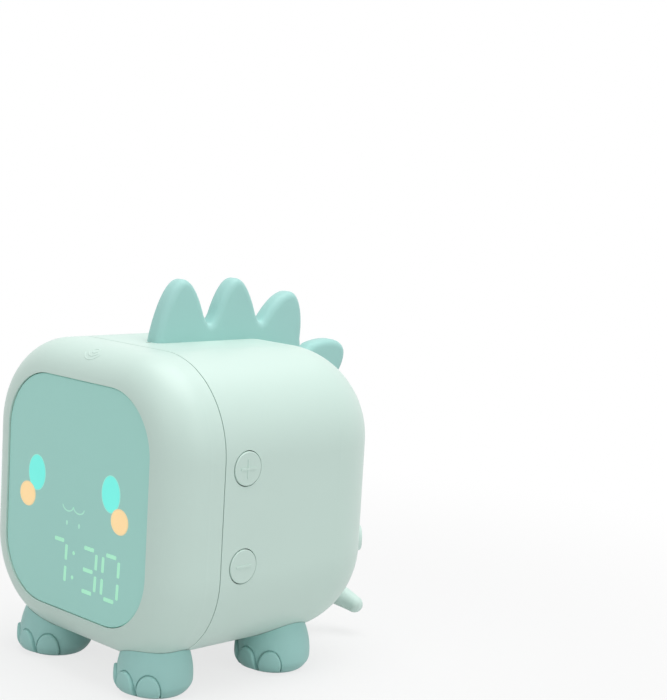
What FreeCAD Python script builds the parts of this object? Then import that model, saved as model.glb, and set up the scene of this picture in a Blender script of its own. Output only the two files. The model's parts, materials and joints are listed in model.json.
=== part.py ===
import FreeCAD, Part
import math
import os

# Overall sizes of the clock, in millimetres
BODY_WIDTH = 96.0
BODY_DEPTH = 94.0
BODY_HEIGHT = 94.0
GROUND_CLEARANCE = 9.8
CREST_RISE = 19.9
CREST_OVERHANG = 19.5
TOTAL_LENGTH = BODY_DEPTH + CREST_OVERHANG
TOTAL_HEIGHT = GROUND_CLEARANCE + BODY_HEIGHT + CREST_RISE
CENTRE_Z = GROUND_CLEARANCE + BODY_HEIGHT / 2
CORNER_RADIUS = 29.5
FRONT_RIM_RADIUS = 13.1
REAR_RIM_RADIUS = 27.0

# Moulded housings
WALL = 2.2
FRONT_WALL = 3.6
INNER_FRONT_RIM = 6.0
SEAM_FROM_FRONT = 18.7
SEAM_GAP = 0.3
LIP_THICKNESS = 1.2
LIP_LENGTH = 2.0
LIP_ROOT = 3.0
FIT_GAP = 0.15
TOUCH_GAP = 0.05
CUT_PAST = 1.0

# Display window and the light wells behind it
LENS_SIDE_MARGIN = 12.5
LENS_TOP_MARGIN = 10.5
LENS_HALF_WIDTH = BODY_WIDTH / 2 - LENS_SIDE_MARGIN
LENS_HALF_HEIGHT = BODY_HEIGHT / 2 - LENS_TOP_MARGIN
LENS_CORNER = 19.4
LENS_THICKNESS = 1.5
LENS_RECESS = 0.5
LENS_EDGE_CHAMFER = 0.25
LEDGE_WIDTH = 3.0
BAFFLE_DEPTH = 8.0
BAFFLE_FLANGE_HALF_WIDTH = LENS_HALF_WIDTH - 1.0
BAFFLE_FLANGE_HALF_HEIGHT = LENS_HALF_HEIGHT + 1.5
BAFFLE_FLANGE_THICKNESS = 2.0
BAFFLE_CORNER = 17.0
DIGIT_HEIGHT = 14.4
DIGIT_WIDTH = 7.4
DIGIT_CENTRE_Z = CENTRE_Z - 21.4
DIGIT_INNER_X = 8.6
DIGIT_OUTER_X = 18.8
DIGIT_SLANT_DEG = 4.0
SEGMENT_WIDTH = 1.3
SEGMENT_GAP = 0.35
COLON_HALF_SPACING = 3.9
COLON_RADIUS = 0.8
EYE_X = 19.0
EYE_Z = CENTRE_Z + 4.6
EYE_HALF_WIDTH = 4.5
EYE_HALF_HEIGHT = 6.1
CHEEK_X = 24.0
CHEEK_Z = CENTRE_Z - 2.8
CHEEK_RADIUS = 4.3
WELL_WALL = 0.8

# Boards, lamps and small parts
BOARD_THICKNESS = 1.6
DISPLAY_BOARD_HALF_WIDTH = LENS_HALF_WIDTH + 5.0
DISPLAY_BOARD_HALF_HEIGHT = LENS_HALF_HEIGHT + 0.5
DISPLAY_BOARD_CORNER = 20.0
BOARD_BOSS_X = LENS_HALF_WIDTH + 2.1
BOARD_BOSS_Z = 20.0
BOSS_RADIUS = 2.6
LED_LENGTH = 1.6
LED_WIDTH = 0.8
LED_HEIGHT = 0.7
NIGHT_LED_SIZE = 3.4
NIGHT_LED_HEIGHT = 1.5
NIGHT_LED_X = LENS_HALF_WIDTH - 6.9
NIGHT_LED_ABOVE_CENTRE = 24.0
NIGHT_LED_BELOW_CENTRE = 20.9
SCREW_SHANK_RADIUS = 1.0
SCREW_HEAD_RADIUS = 1.9
SCREW_HEAD_HEIGHT = 1.3
SCREW_LENGTH = 6.0
SHORT_SCREW_LENGTH = 4.0
PILOT_GAP = 0.06

# Side buttons and their switches
BUTTON_RADIUS = 5.5
BUTTON_GAP = 0.3
BUTTON_FROM_FRONT = 27.5
UPPER_BUTTON_Z = CENTRE_Z + 15.2
LOWER_BUTTON_Z = CENTRE_Z - 14.6
BUTTON_PROUD = 0.35
BUTTON_EDGE_ROUND = 0.3
BUTTON_FLANGE_RADIUS = 6.3
BUTTON_FLANGE_THICKNESS = 1.1
BUTTON_FLANGE_SETBACK = 0.65
BUTTON_BOSS_RADIUS = 2.2
BUTTON_BOSS_LENGTH = 0.65
BUTTON_TRAVEL = 0.6
SWITCH_SIZE = 6.0
SWITCH_HEIGHT = 3.4
PLUNGER_RADIUS = 1.7
PLUNGER_STROKE_ROOM = BUTTON_TRAVEL + 0.15
PLUNGER_SUNK = 1.4
KEY_BOARD_WIDTH = 12.0
KEY_BOARD_MARGIN = 8.0
KEY_POST_OFFSET = 5.0

# Crest of soft spikes; a form gives shares of the half width and of the length
CREST_THICKNESS = 8.0
CREST_ROUND = 2.8
CREST_GAP = 0.1
SPIKE_BASE_DEPTH = 0.4
SPIKE_HALF_WIDTH = 0.132 * BODY_DEPTH
FIRST_SPIKE_FROM_FRONT = 0.4213 * BODY_DEPTH
SECOND_SPIKE_FROM_FRONT = 0.6532 * BODY_DEPTH
FIRST_SPIKE_DROP = 0.5
THIRD_SPIKE_FROM_FRONT = BODY_DEPTH - 13.8
THIRD_SPIKE_BELOW_TOP = 6.4
THIRD_SPIKE_LENGTH = 22.0
THIRD_SPIKE_HALF_WIDTH = 11.5
THIRD_SPIKE_TILT_DEG = 14.0
REAR_SPIKE_BELOW_TOP = 17.4
REAR_SPIKE_LENGTH = 26.2
REAR_SPIKE_HALF_WIDTH = 10.8
REAR_SPIKE_TILT_DEG = 61.5
POINTED_SHARES = ((1.0, 0.0), (0.84, 0.38), (0.58, 0.67), (0.36, 0.88))
ROUNDED_SHARES = ((1.0, 0.0), (0.89, 0.37), (0.66, 0.68), (0.40, 0.89))
BLUNT_SHARES = ((1.0, 0.0), (0.93, 0.36), (0.72, 0.69), (0.42, 0.90))
CREST_TAB_LENGTH = 10.0
CREST_TAB_THICKNESS = 3.0
CREST_BARB_GROWTH = 1.0
CREST_BARB_HEIGHT = 1.5

# Feet
FRONT_FOOT_X = BODY_WIDTH / 2 - 22.5
REAR_FOOT_X = BODY_WIDTH / 2 - 19.8
FRONT_FOOT_FROM_FRONT = 14.0
REAR_FOOT_FROM_FRONT = BODY_DEPTH - 32.6
FOOT_RADIUS = 11.8
FOOT_BELLY_HEIGHT = 5.4
FOOT_SOLE_RADIUS = 7.2
FOOT_NECK_RADIUS = 8.7
FOOT_NECK_HEIGHT = GROUND_CLEARANCE + 7.2
FOOT_TOP = GROUND_CLEARANCE + 10.0
FOOT_POST_RADIUS = 2.2
FOOT_POST_SETBACK = 7.6
FOOT_BOSS_RADIUS = 5.0
FOOT_BOSS_TOP = GROUND_CLEARANCE + 7.4
FOOT_SCREW_SHANK = 1.1
FOOT_SCREW_HEAD = 4.0
FOOT_SCREW_HEAD_HEIGHT = 1.4
FOOT_SCREW_LENGTH = 8.0
NAIL_PROUD = 0.9
NAIL_HALF_WIDTH = 3.6
NAIL_HALF_HEIGHT = 4.8
NAIL_CENTRE_Z = 3.4
NAIL_FOOT_Z = 1.3
NAIL_FAN_DEG = 41.0
NAIL_EDGE_ROUND = 0.6
NAIL_GROOVE_WIDTH = 0.35
NAIL_GROOVE_DEPTH = 0.5
CLAMP_TAB_HALF_WIDTH = 7.0
CLAMP_TAB_REACH = 5.6

# Tail: places of its sections across, behind the body's rear face and above its underside
TAIL_COURSE = ((0.0, -8.0, 16.6), (2.5, 4.0, 10.1), (7.0, 10.0, 6.0), (12.0, 14.2, 2.8), (17.5, 16.4, 0.4))
TAIL_RADII = (6.2, 5.3, 4.4, 3.7, 2.9)
TAIL_SPIGOT_RADIUS = 3.0
TAIL_SPIGOT_LENGTH = 6.0

# Battery, cradle and strap
BATTERY_RADIUS = 9.2
BATTERY_LENGTH = 65.0
BATTERY_FROM_FRONT = 41.7
BATTERY_AXIS_Z = GROUND_CLEARANCE + 16.4
BATTERY_GAP = 0.2
BATTERY_EDGE_ROUND = 0.8
CRADLE_X = 20.0
CRADLE_THICKNESS = 3.0
CRADLE_OVERHANG = 2.3
STRAP_WIDTH = 10.0
STRAP_THICKNESS = 1.2
STRAP_FOOT_LENGTH = 7.5
STRAP_FOOT_DROP = 7.8

# Charging socket, its board and its soft cover
PORT_X = BODY_WIDTH / 2 - 27.0
PORT_Z = CENTRE_Z - 16.4
SOCKET_WIDTH = 9.0
SOCKET_HEIGHT = 3.2
SOCKET_LENGTH = 7.4
SOCKET_SKIN = 0.35
SOCKET_GAP = 0.2
SOCKET_BACK = 1.0
SOCKET_TONGUE_WIDTH = 6.6
SOCKET_TONGUE_THICKNESS = 0.7
SOCKET_TONGUE_SETBACK = 0.8
PORT_RECESS_DEPTH = 1.2
PORT_RECESS_HALF_WIDTH = 7.0
PORT_RECESS_HALF_HEIGHT = 3.2
COVER_LEFT_X = PORT_X - 10.0
COVER_RIGHT_X = BODY_WIDTH / 2 - 8.6
COVER_HEIGHT = 8.4
COVER_THICKNESS = 1.25
COVER_SPLIT_X = COVER_LEFT_X + 3.0
COVER_SPLIT_GAP = 0.2
COVER_TONGUE_DEPTH = 0.9
COVER_TONGUE_GAP = 0.6
ANCHOR_PEG_RADIUS = 1.2
MAIN_BOARD_HALF_WIDTH = BODY_WIDTH / 2 - 19.0
MAIN_BOARD_BEFORE_REAR = 4.5
MAIN_BOARD_DEPTH = 25.5
MAIN_POST_X = MAIN_BOARD_HALF_WIDTH - 4.5
MAIN_POST_FRONT_INSET = 4.0
MAIN_POST_REAR_INSET = 7.5

# Parts that stand on the main board
PROCESSOR_SIZE = 12.0
PROCESSOR_HEIGHT = 1.4
CHARGER_SIZE = 5.0
CHARGER_X = 13.5
COIL_SIZE = 6.0
COIL_HEIGHT = 3.0
CAPACITOR_RADIUS = 2.5
CAPACITOR_HEIGHT = 7.0

# Speaker behind the sound holes
SPEAKER_Z = CENTRE_Z + 1.6
SPEAKER_RADIUS = 18.0
SPEAKER_FLANGE = 1.2
SPEAKER_CONE_RADIUS = 14.5
SPEAKER_DEPTH = 8.0
SPEAKER_WINDOW_WIDTH = 5.0
CONE_PAPER_THICKNESS = 0.6
CONE_SURROUND_OUTSIDE = 0.4
CONE_SURROUND_INSIDE = 0.8
MAGNET_RADIUS = 10.0
MAGNET_HEIGHT = 4.5
SPEAKER_EAR_X = 21.0
SPEAKER_EAR_RADIUS = 3.2
SPEAKER_SEAT = 2.0
SOUND_HOLE_RADIUS = 1.1
SOUND_HOLE_PITCH = 4.6
SOUND_HOLE_RINGS = 2

# Touch foil
TOUCH_PAD_WIDTH = 16.0
TOUCH_PAD_DEPTH = 4.2
TOUCH_PAD_THICKNESS = 0.15

# Places worked out from the sizes above
FRONT_Y = -TOTAL_LENGTH / 2
REAR_Y = FRONT_Y + BODY_DEPTH
SEAM_Y = FRONT_Y + SEAM_FROM_FRONT
BOTTOM_Z = GROUND_CLEARANCE
TOP_Z = GROUND_CLEARANCE + BODY_HEIGHT
BUTTON_Y = FRONT_Y + BUTTON_FROM_FRONT
INNER_X = BODY_WIDTH / 2 - WALL
LENS_BACK_Y = FRONT_Y + LENS_RECESS + LENS_THICKNESS
LEDGE_BACK_Y = FRONT_Y + FRONT_WALL
DISPLAY_BOARD_Y = LENS_BACK_Y + BAFFLE_DEPTH + 2 * TOUCH_GAP
UP = FreeCAD.Vector(0, 0, 1)
REARWARD = FreeCAD.Vector(0, 1, 0)
SIDES = (1, -1)


def vec(x, y, z):
    return FreeCAD.Vector(x, y, z)


def box(x0, x1, y0, y1, z0, z1):
    return Part.makeBox(x1 - x0, y1 - y0, z1 - z0, vec(x0, y0, z0))


def rod(radius, start, end):
    """Cylinder between two points."""
    course = end.sub(start)
    return Part.makeCylinder(radius, course.Length, start, course)


def mirrored_box(side, x0, x1, y0, y1, z0, z1):
    """Box on the right for side 1 and on the left for side -1."""
    low, high = sorted((side * x0, side * x1))
    return box(low, high, y0, y1, z0, z1)


def fused(solids):
    """One solid out of several that touch or overlap."""
    joined = solids[0].multiFuse(solids[1:]) if len(solids) > 1 else solids[0]
    return joined.removeSplitter()


def plate(half_x, half_z, corner, y0, y1, centre_x=0.0, centre_z=CENTRE_Z):
    """Upright plate with rounded corners, square to the Y axis."""
    block = box(centre_x - half_x, centre_x + half_x, y0, y1, centre_z - half_z, centre_z + half_z)
    edges = [edge for edge in block.Edges if is_along_y(edge)]
    return block.makeFillet(corner, edges)


def is_along_y(edge):
    first, last = edge.Vertexes[0].Point, edge.Vertexes[-1].Point
    return abs(first.x - last.x) < 1e-6 and abs(first.z - last.z) < 1e-6


def edges_in_plane(shape, y):
    return [edge for edge in shape.Edges if all(abs(v.Point.y - y) < 1e-6 for v in edge.Vertexes)]


def rounded_cube(inset, front_y, rear_y, front_rim, rear_rim):
    """The body's form, moved in by inset on its sides and closed at two given ends."""
    half = BODY_WIDTH / 2 - inset
    corner = CORNER_RADIUS - inset
    cube = box(-half, half, front_y, rear_y, BOTTOM_Z + inset, TOP_Z - inset)
    cube = cube.makeFillet(corner, [edge for edge in cube.Edges if is_along_y(edge)])
    cube = cube.makeFillet(front_rim, edges_in_plane(cube, front_y))
    return cube.makeFillet(min(rear_rim, corner - 1.0), edges_in_plane(cube, rear_y))


def body_form(inset):
    """The body's outside moved in (or out, if negative) all round by one distance."""
    return rounded_cube(inset, FRONT_Y + inset, REAR_Y - inset,
                        FRONT_RIM_RADIUS - inset, REAR_RIM_RADIUS - inset)


def cavity():
    return rounded_cube(WALL, LEDGE_BACK_Y, REAR_Y - WALL, INNER_FRONT_RIM, REAR_RIM_RADIUS - WALL)


def slab(y0, y1):
    """A thick slice of space across the whole clock, used to cut it at a plane."""
    reach = BODY_WIDTH + BODY_HEIGHT
    return box(-reach, reach, y0, y1, -reach, reach)


def screw(head_seat, direction, head=SCREW_HEAD_RADIUS, shank=SCREW_SHANK_RADIUS,
          height=SCREW_HEAD_HEIGHT, length=SCREW_LENGTH):
    """Round-head screw whose head sits at head_seat and whose shank runs along direction."""
    cap = Part.makeCylinder(head, height, head_seat, direction.negative())
    shaft = Part.makeCylinder(shank, length, head_seat, direction)
    return cap.fuse(shaft).removeSplitter()


def pilot(seat, direction, shank=SCREW_SHANK_RADIUS, length=SCREW_LENGTH):
    """Hole that a screw's shank turns into, a little longer than the shank."""
    return Part.makeCylinder(shank + PILOT_GAP, length + shank, seat, direction)


def seam_lip():
    """Ring inside the seam that the rear housing slides over."""
    outer = body_form(WALL + FIT_GAP)
    inner = body_form(WALL + FIT_GAP + LIP_THICKNESS)
    tongue = outer.cut(inner).common(slab(SEAM_Y - LIP_ROOT, SEAM_Y + LIP_LENGTH))
    root = body_form(WALL / 2).cut(inner).common(slab(SEAM_Y - LIP_ROOT, SEAM_Y - SEAM_GAP / 2))
    return [tongue, root]


def foot_places():
    """Name, centre and post centre of each foot, by the side and end it stands at."""
    front = FRONT_Y + FRONT_FOOT_FROM_FRONT
    rear = FRONT_Y + REAR_FOOT_FROM_FRONT
    return {
        "foot_front_right": (FRONT_FOOT_X, front, front + FOOT_POST_SETBACK),
        "foot_front_left": (-FRONT_FOOT_X, front, front + FOOT_POST_SETBACK),
        "foot_rear_right": (REAR_FOOT_X, rear, rear),
        "foot_rear_left": (-REAR_FOOT_X, rear, rear),
    }


def foot_post_hole(x, post_y):
    return rod(FOOT_POST_RADIUS + BATTERY_GAP, vec(x, post_y, 0), vec(x, post_y, FOOT_BOSS_TOP + CUT_PAST))


def foot_boss(x, post_y, inset):
    """Pad inside the shell that the foot's screw draws down on."""
    pad = rod(FOOT_BOSS_RADIUS, vec(x, post_y, 0), vec(x, post_y, FOOT_BOSS_TOP))
    return pad.common(body_form(inset))


def clamp_tab(x, post_y):
    """Tongue of the front housing that the front foot clamps to the rear housing."""
    sheet = body_form(WALL + FIT_GAP).cut(body_form(WALL + FIT_GAP + LIP_THICKNESS))
    patch = box(x - CLAMP_TAB_HALF_WIDTH, x + CLAMP_TAB_HALF_WIDTH, SEAM_Y - LIP_ROOT,
                post_y + CLAMP_TAB_REACH, 0, CENTRE_Z / 2)
    return [sheet.common(patch), foot_boss(x, post_y, WALL + FIT_GAP)]


def display_boss_places():
    return [(sx * BOARD_BOSS_X, CENTRE_Z + sz * BOARD_BOSS_Z) for sx in SIDES for sz in SIDES]


def front_housing():
    shell = body_form(0).cut(cavity()).common(slab(FRONT_Y - CUT_PAST, SEAM_Y - SEAM_GAP / 2))
    parts = [shell] + seam_lip()
    for x, z in display_boss_places():
        parts.append(rod(BOSS_RADIUS, vec(x, LENS_BACK_Y, z), vec(x, DISPLAY_BOARD_Y, z)))
    front_feet = [place for name, place in foot_places().items() if "front" in name]
    for x, _, post_y in front_feet:
        parts += clamp_tab(x, post_y)
    shell = fused(parts)
    shell = shell.cut(plate(LENS_HALF_WIDTH + FIT_GAP, LENS_HALF_HEIGHT + FIT_GAP, LENS_CORNER,
                            FRONT_Y - CUT_PAST, LENS_BACK_Y + TOUCH_GAP))
    shell = shell.cut(plate(LENS_HALF_WIDTH - LEDGE_WIDTH, LENS_HALF_HEIGHT - LEDGE_WIDTH,
                            LENS_CORNER - LEDGE_WIDTH, FRONT_Y - CUT_PAST, LEDGE_BACK_Y + CUT_PAST))
    cutters = [foot_post_hole(x, post_y) for x, _, post_y in front_feet]
    for x, z in display_boss_places():
        cutters.append(pilot(vec(x, DISPLAY_BOARD_Y, z), REARWARD.negative()))
    return shell.cut(cutters)


def display_lens():
    lens = plate(LENS_HALF_WIDTH, LENS_HALF_HEIGHT, LENS_CORNER, FRONT_Y + LENS_RECESS, LENS_BACK_Y)
    return lens.makeChamfer(LENS_EDGE_CHAMFER, edges_in_plane(lens, FRONT_Y + LENS_RECESS))


def slanted(x, z, centre_x):
    """Point of a digit leaned to the right about the middle of its height."""
    lean = math.tan(math.radians(DIGIT_SLANT_DEG)) * z
    return centre_x + x + lean, DIGIT_CENTRE_Z + z


def segment_bars():
    """End points of the seven bars of a digit about its own centre."""
    w = (DIGIT_WIDTH - SEGMENT_WIDTH) / 2
    h = (DIGIT_HEIGHT - SEGMENT_WIDTH) / 2
    level = [((-w, z), (w, z)) for z in (-h, 0.0, h)]
    upright = [((x, z0), (x, z0 + h)) for x in (-w, w) for z0 in (-h, 0.0)]
    return level + upright


def segment_prism(bar, centre_x, y0, y1):
    """Six-sided light well of one bar, pointed at both ends."""
    (xa, za), (xb, zb) = bar
    length = math.hypot(xb - xa, zb - za)
    ux, uz = (xb - xa) / length, (zb - za) / length
    half = SEGMENT_WIDTH / 2
    outline = []
    first, last = SEGMENT_GAP, length - SEGMENT_GAP
    for along, across in ((first, 0), (first + half, half), (last - half, half),
                          (last, 0), (last - half, -half), (first + half, -half)):
        x, z = slanted(xa + ux * along - uz * across, za + uz * along + ux * across, centre_x)
        outline.append(vec(x, y0, z))
    face = Part.Face(Part.makePolygon(outline + outline[:1]))
    return face.extrude(vec(0, y1 - y0, 0))


def digit_centres():
    return (-DIGIT_OUTER_X, -DIGIT_INNER_X, DIGIT_INNER_X, DIGIT_OUTER_X)


def colon_places():
    return [slanted(0.0, sz * COLON_HALF_SPACING, 0.0) for sz in SIDES]


def ellipse_prism(x, z, half_x, half_z, y0, y1):
    """Oval column along the Y axis."""
    tall = half_z >= half_x
    major = vec(0, 0, half_z) if tall else vec(half_x, 0, 0)
    minor = vec(half_x, 0, 0) if tall else vec(0, 0, half_z)
    centre = vec(x, y0, z)
    oval = Part.Ellipse(centre.add(major), centre.add(minor), centre)
    return Part.Face(Part.Wire(oval.toShape())).extrude(vec(0, y1 - y0, 0))


def face_wells(y0, y1):
    """Light wells of the eyes and cheeks; a cheek is cut clear of its eye by a thin wall."""
    wells = []
    for side in SIDES:
        eye = ellipse_prism(side * EYE_X, EYE_Z, EYE_HALF_WIDTH, EYE_HALF_HEIGHT, y0, y1)
        start, end = vec(side * CHEEK_X, y0, CHEEK_Z), vec(side * CHEEK_X, y1, CHEEK_Z)
        cheek = rod(CHEEK_RADIUS, start, end)
        margin = rod(CHEEK_RADIUS + WELL_WALL, start, end)
        wells += [eye.cut(margin), cheek]
    return wells


def night_led_places():
    heights = (CENTRE_Z + NIGHT_LED_ABOVE_CENTRE, CENTRE_Z - NIGHT_LED_BELOW_CENTRE)
    return [(side * NIGHT_LED_X, z) for side in SIDES for z in heights]


def light_baffle():
    front_y = LENS_BACK_Y + 2 * TOUCH_GAP
    back_y = DISPLAY_BOARD_Y - TOUCH_GAP
    core = plate(LENS_HALF_WIDTH - LEDGE_WIDTH - FIT_GAP, LENS_HALF_HEIGHT - LEDGE_WIDTH - FIT_GAP,
                 LENS_CORNER - LEDGE_WIDTH - FIT_GAP, front_y, back_y)
    flange_y = LEDGE_BACK_Y + TOUCH_GAP
    flange = plate(BAFFLE_FLANGE_HALF_WIDTH, BAFFLE_FLANGE_HALF_HEIGHT, BAFFLE_CORNER,
                   flange_y, flange_y + BAFFLE_FLANGE_THICKNESS)
    block = fused([core, flange])
    y0, y1 = front_y - CUT_PAST, back_y + CUT_PAST
    cutters = [segment_prism(bar, x, y0, y1) for x in digit_centres() for bar in segment_bars()]
    cutters += [rod(COLON_RADIUS, vec(x, y0, z), vec(x, y1, z)) for x, z in colon_places()]
    cutters += face_wells(y0, y1)
    half = NIGHT_LED_SIZE / 2 + WELL_WALL
    cutters += [box(x - half, x + half, y0, y1, z - half, z + half) for x, z in night_led_places()]
    return block.cut(cutters)


def display_board():
    board = plate(DISPLAY_BOARD_HALF_WIDTH, DISPLAY_BOARD_HALF_HEIGHT, DISPLAY_BOARD_CORNER,
                  DISPLAY_BOARD_Y, DISPLAY_BOARD_Y + BOARD_THICKNESS)
    y0, y1 = DISPLAY_BOARD_Y - CUT_PAST, DISPLAY_BOARD_Y + BOARD_THICKNESS + CUT_PAST
    holes = [rod(SCREW_SHANK_RADIUS + FIT_GAP, vec(x, y0, z), vec(x, y1, z))
             for x, z in display_boss_places()]
    return board.cut(holes)


def lamp(x, z, length_x, length_z, height):
    return box(x - length_x / 2, x + length_x / 2, DISPLAY_BOARD_Y - height, DISPLAY_BOARD_Y,
               z - length_z / 2, z + length_z / 2)


def segment_leds():
    lamps = []
    for centre_x in digit_centres():
        for (xa, za), (xb, zb) in segment_bars():
            x, z = slanted((xa + xb) / 2, (za + zb) / 2, centre_x)
            level = abs(zb - za) < abs(xb - xa)
            length_x, length_z = (LED_LENGTH, LED_WIDTH) if level else (LED_WIDTH, LED_LENGTH)
            lamps.append(lamp(x, z, length_x, length_z, LED_HEIGHT))
    lamps += [lamp(x, z, LED_WIDTH, LED_WIDTH, LED_HEIGHT) for x, z in colon_places()]
    return Part.makeCompound(lamps)


def night_light_leds():
    places = night_led_places()
    places += [(side * EYE_X, EYE_Z + EYE_HALF_HEIGHT / 3) for side in SIDES]
    places += [(side * CHEEK_X, CHEEK_Z) for side in SIDES]
    return Part.makeCompound([lamp(x, z, NIGHT_LED_SIZE, NIGHT_LED_SIZE, NIGHT_LED_HEIGHT)
                              for x, z in places])


def touch_pad():
    y1 = SEAM_Y - LIP_ROOT - FIT_GAP
    z1 = TOP_Z - WALL - TOUCH_GAP
    half = TOUCH_PAD_WIDTH / 2
    return box(-half, half, y1 - TOUCH_PAD_DEPTH, y1, z1 - TOUCH_PAD_THICKNESS, z1)


def button_heights():
    return (UPPER_BUTTON_Z, LOWER_BUTTON_Z)


def flange_front_x():
    return INNER_X - BUTTON_FLANGE_SETBACK


def cap_back_x():
    return flange_front_x() - BUTTON_FLANGE_THICKNESS - BUTTON_BOSS_LENGTH


def switch_front_x():
    """Outer face of a switch's case, clear of the cap's boss when the cap is pressed in."""
    return cap_back_x() - PLUNGER_STROKE_ROOM


def key_board_front_x():
    return switch_front_x() - SWITCH_HEIGHT


def button(side, z):
    """Round cap with a flange that keeps it behind the side wall."""
    outer = BODY_WIDTH / 2 + BUTTON_PROUD
    radius = BUTTON_RADIUS - BUTTON_GAP
    cap = rod(radius, vec(side * flange_front_x(), BUTTON_Y, z), vec(side * outer, BUTTON_Y, z))
    rim = [edge for edge in cap.Edges if all(abs(abs(v.Point.x) - outer) < 1e-6 for v in edge.Vertexes)]
    cap = cap.makeFillet(BUTTON_EDGE_ROUND, rim)
    flange_back = flange_front_x() - BUTTON_FLANGE_THICKNESS
    flange = rod(BUTTON_FLANGE_RADIUS, vec(side * flange_back, BUTTON_Y, z),
                 vec(side * flange_front_x(), BUTTON_Y, z))
    boss = rod(BUTTON_BOSS_RADIUS, vec(side * cap_back_x(), BUTTON_Y, z),
               vec(side * flange_back, BUTTON_Y, z))
    return fused([cap, flange, boss])


def plunger(side, z):
    tip = cap_back_x() - TOUCH_GAP
    tail_end = switch_front_x() - PLUNGER_SUNK
    return rod(PLUNGER_RADIUS, vec(side * tail_end, BUTTON_Y, z), vec(side * tip, BUTTON_Y, z))


def tact_switches():
    """Four switch cases, each open at the front for its plunger."""
    cases = []
    half = SWITCH_SIZE / 2
    for side in SIDES:
        for z in button_heights():
            case = mirrored_box(side, key_board_front_x(), switch_front_x(), BUTTON_Y - half, BUTTON_Y + half,
                                z - half, z + half)
            well = rod(PLUNGER_RADIUS + FIT_GAP,
                       vec(side * (switch_front_x() - PLUNGER_SUNK - PLUNGER_STROKE_ROOM), BUTTON_Y, z),
                       vec(side * (switch_front_x() + CUT_PAST), BUTTON_Y, z))
            cases.append(case.cut(well))
    return Part.makeCompound(cases)


def key_post_heights():
    middle = (UPPER_BUTTON_Z + LOWER_BUTTON_Z) / 2
    return (middle - KEY_POST_OFFSET, middle + KEY_POST_OFFSET)


def key_board(side):
    half = KEY_BOARD_WIDTH / 2
    x1 = key_board_front_x() - TOUCH_GAP
    board = mirrored_box(side, x1 - BOARD_THICKNESS, x1, BUTTON_Y - half, BUTTON_Y + half,
                         LOWER_BUTTON_Z - KEY_BOARD_MARGIN, UPPER_BUTTON_Z + KEY_BOARD_MARGIN)
    near, far = side * (x1 - BOARD_THICKNESS - CUT_PAST), side * (x1 + CUT_PAST)
    holes = [rod(SCREW_SHANK_RADIUS + FIT_GAP, vec(near, BUTTON_Y, z), vec(far, BUTTON_Y, z))
             for z in key_post_heights()]
    return board.cut(holes)


def spike_outline(half_width, length, form):
    """Rounded point in its own frame: across in Y, along in Z, smooth through a few widths."""
    rear = [vec(0, half_width * across, length * along) for across, along in form]
    front = [vec(0, -point.y, point.z) for point in reversed(rear)]
    curve = Part.BSplineCurve()
    points = rear + [vec(0, 0, length)] + front
    curve.interpolate(Points=points, InitialTangent=UP, FinalTangent=UP.negative())
    return curve


def spike(base_y, base_z, half_width, length, tilt_deg, form):
    """Soft spike: the outline thickened across the clock and rounded over its edge."""
    curve = spike_outline(half_width, length, form)
    depth = SPIKE_BASE_DEPTH * length
    ends = [vec(0, half_width, 0), vec(0, half_width, -depth),
            vec(0, -half_width, -depth), vec(0, -half_width, 0)]
    wire = Part.Wire([curve.toShape()] + [Part.makeLine(ends[3 - i], ends[2 - i]) for i in range(3)])
    solid = Part.Face(wire).extrude(vec(CREST_THICKNESS, 0, 0))
    solid.translate(vec(-CREST_THICKNESS / 2, 0, 0))
    rims = [edge for edge in solid.Edges if edge.BoundBox.ZMax > -depth / 2 and edge.BoundBox.XLength < 1e-3]
    solid = solid.makeFillet(CREST_ROUND, rims)
    solid.rotate(vec(0, 0, 0), vec(1, 0, 0), -tilt_deg)
    solid.translate(vec(0, base_y, base_z))
    return solid


def rear_spike_base_y():
    """Base place that makes the rearmost point of the crest end the clock's length."""
    tilt = math.radians(REAR_SPIKE_TILT_DEG)
    points = spike_outline(REAR_SPIKE_HALF_WIDTH, REAR_SPIKE_LENGTH, BLUNT_SHARES).discretize(400)
    reach = max(point.y * math.cos(tilt) + point.z * math.sin(tilt) for point in points)
    return TOTAL_LENGTH / 2 - reach


def crest_tab_places():
    """Foot point, outward direction and extra barb depth of each tab that holds the crest to the shell."""
    tilt = math.radians(REAR_SPIKE_TILT_DEG)
    centre_y, centre_z = REAR_Y - REAR_RIM_RADIUS, TOP_Z - REAR_RIM_RADIUS
    out = vec(0, math.sin(tilt), math.cos(tilt))
    rear = vec(0, centre_y, centre_z).add(out * REAR_RIM_RADIUS)
    inner_radius = REAR_RIM_RADIUS - WALL
    half_barb = CREST_TAB_LENGTH / 2 + CREST_BARB_GROWTH
    sag = inner_radius - math.sqrt(inner_radius ** 2 - half_barb ** 2)
    return [(vec(0, FRONT_Y + FIRST_SPIKE_FROM_FRONT, TOP_Z), UP, 0.0),
            (vec(0, FRONT_Y + SECOND_SPIKE_FROM_FRONT, TOP_Z), UP, 0.0),
            (rear, out, sag)]


def tab_block(foot, out, length, thickness, low, high):
    """Bar set square to the shell at foot, from low to high along the outward direction."""
    block = box(-thickness / 2, thickness / 2, -length / 2, length / 2, low, high)
    block.rotate(vec(0, 0, 0), vec(1, 0, 0), math.degrees(-math.atan2(out.y, out.z)))
    block.translate(foot)
    return block


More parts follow.
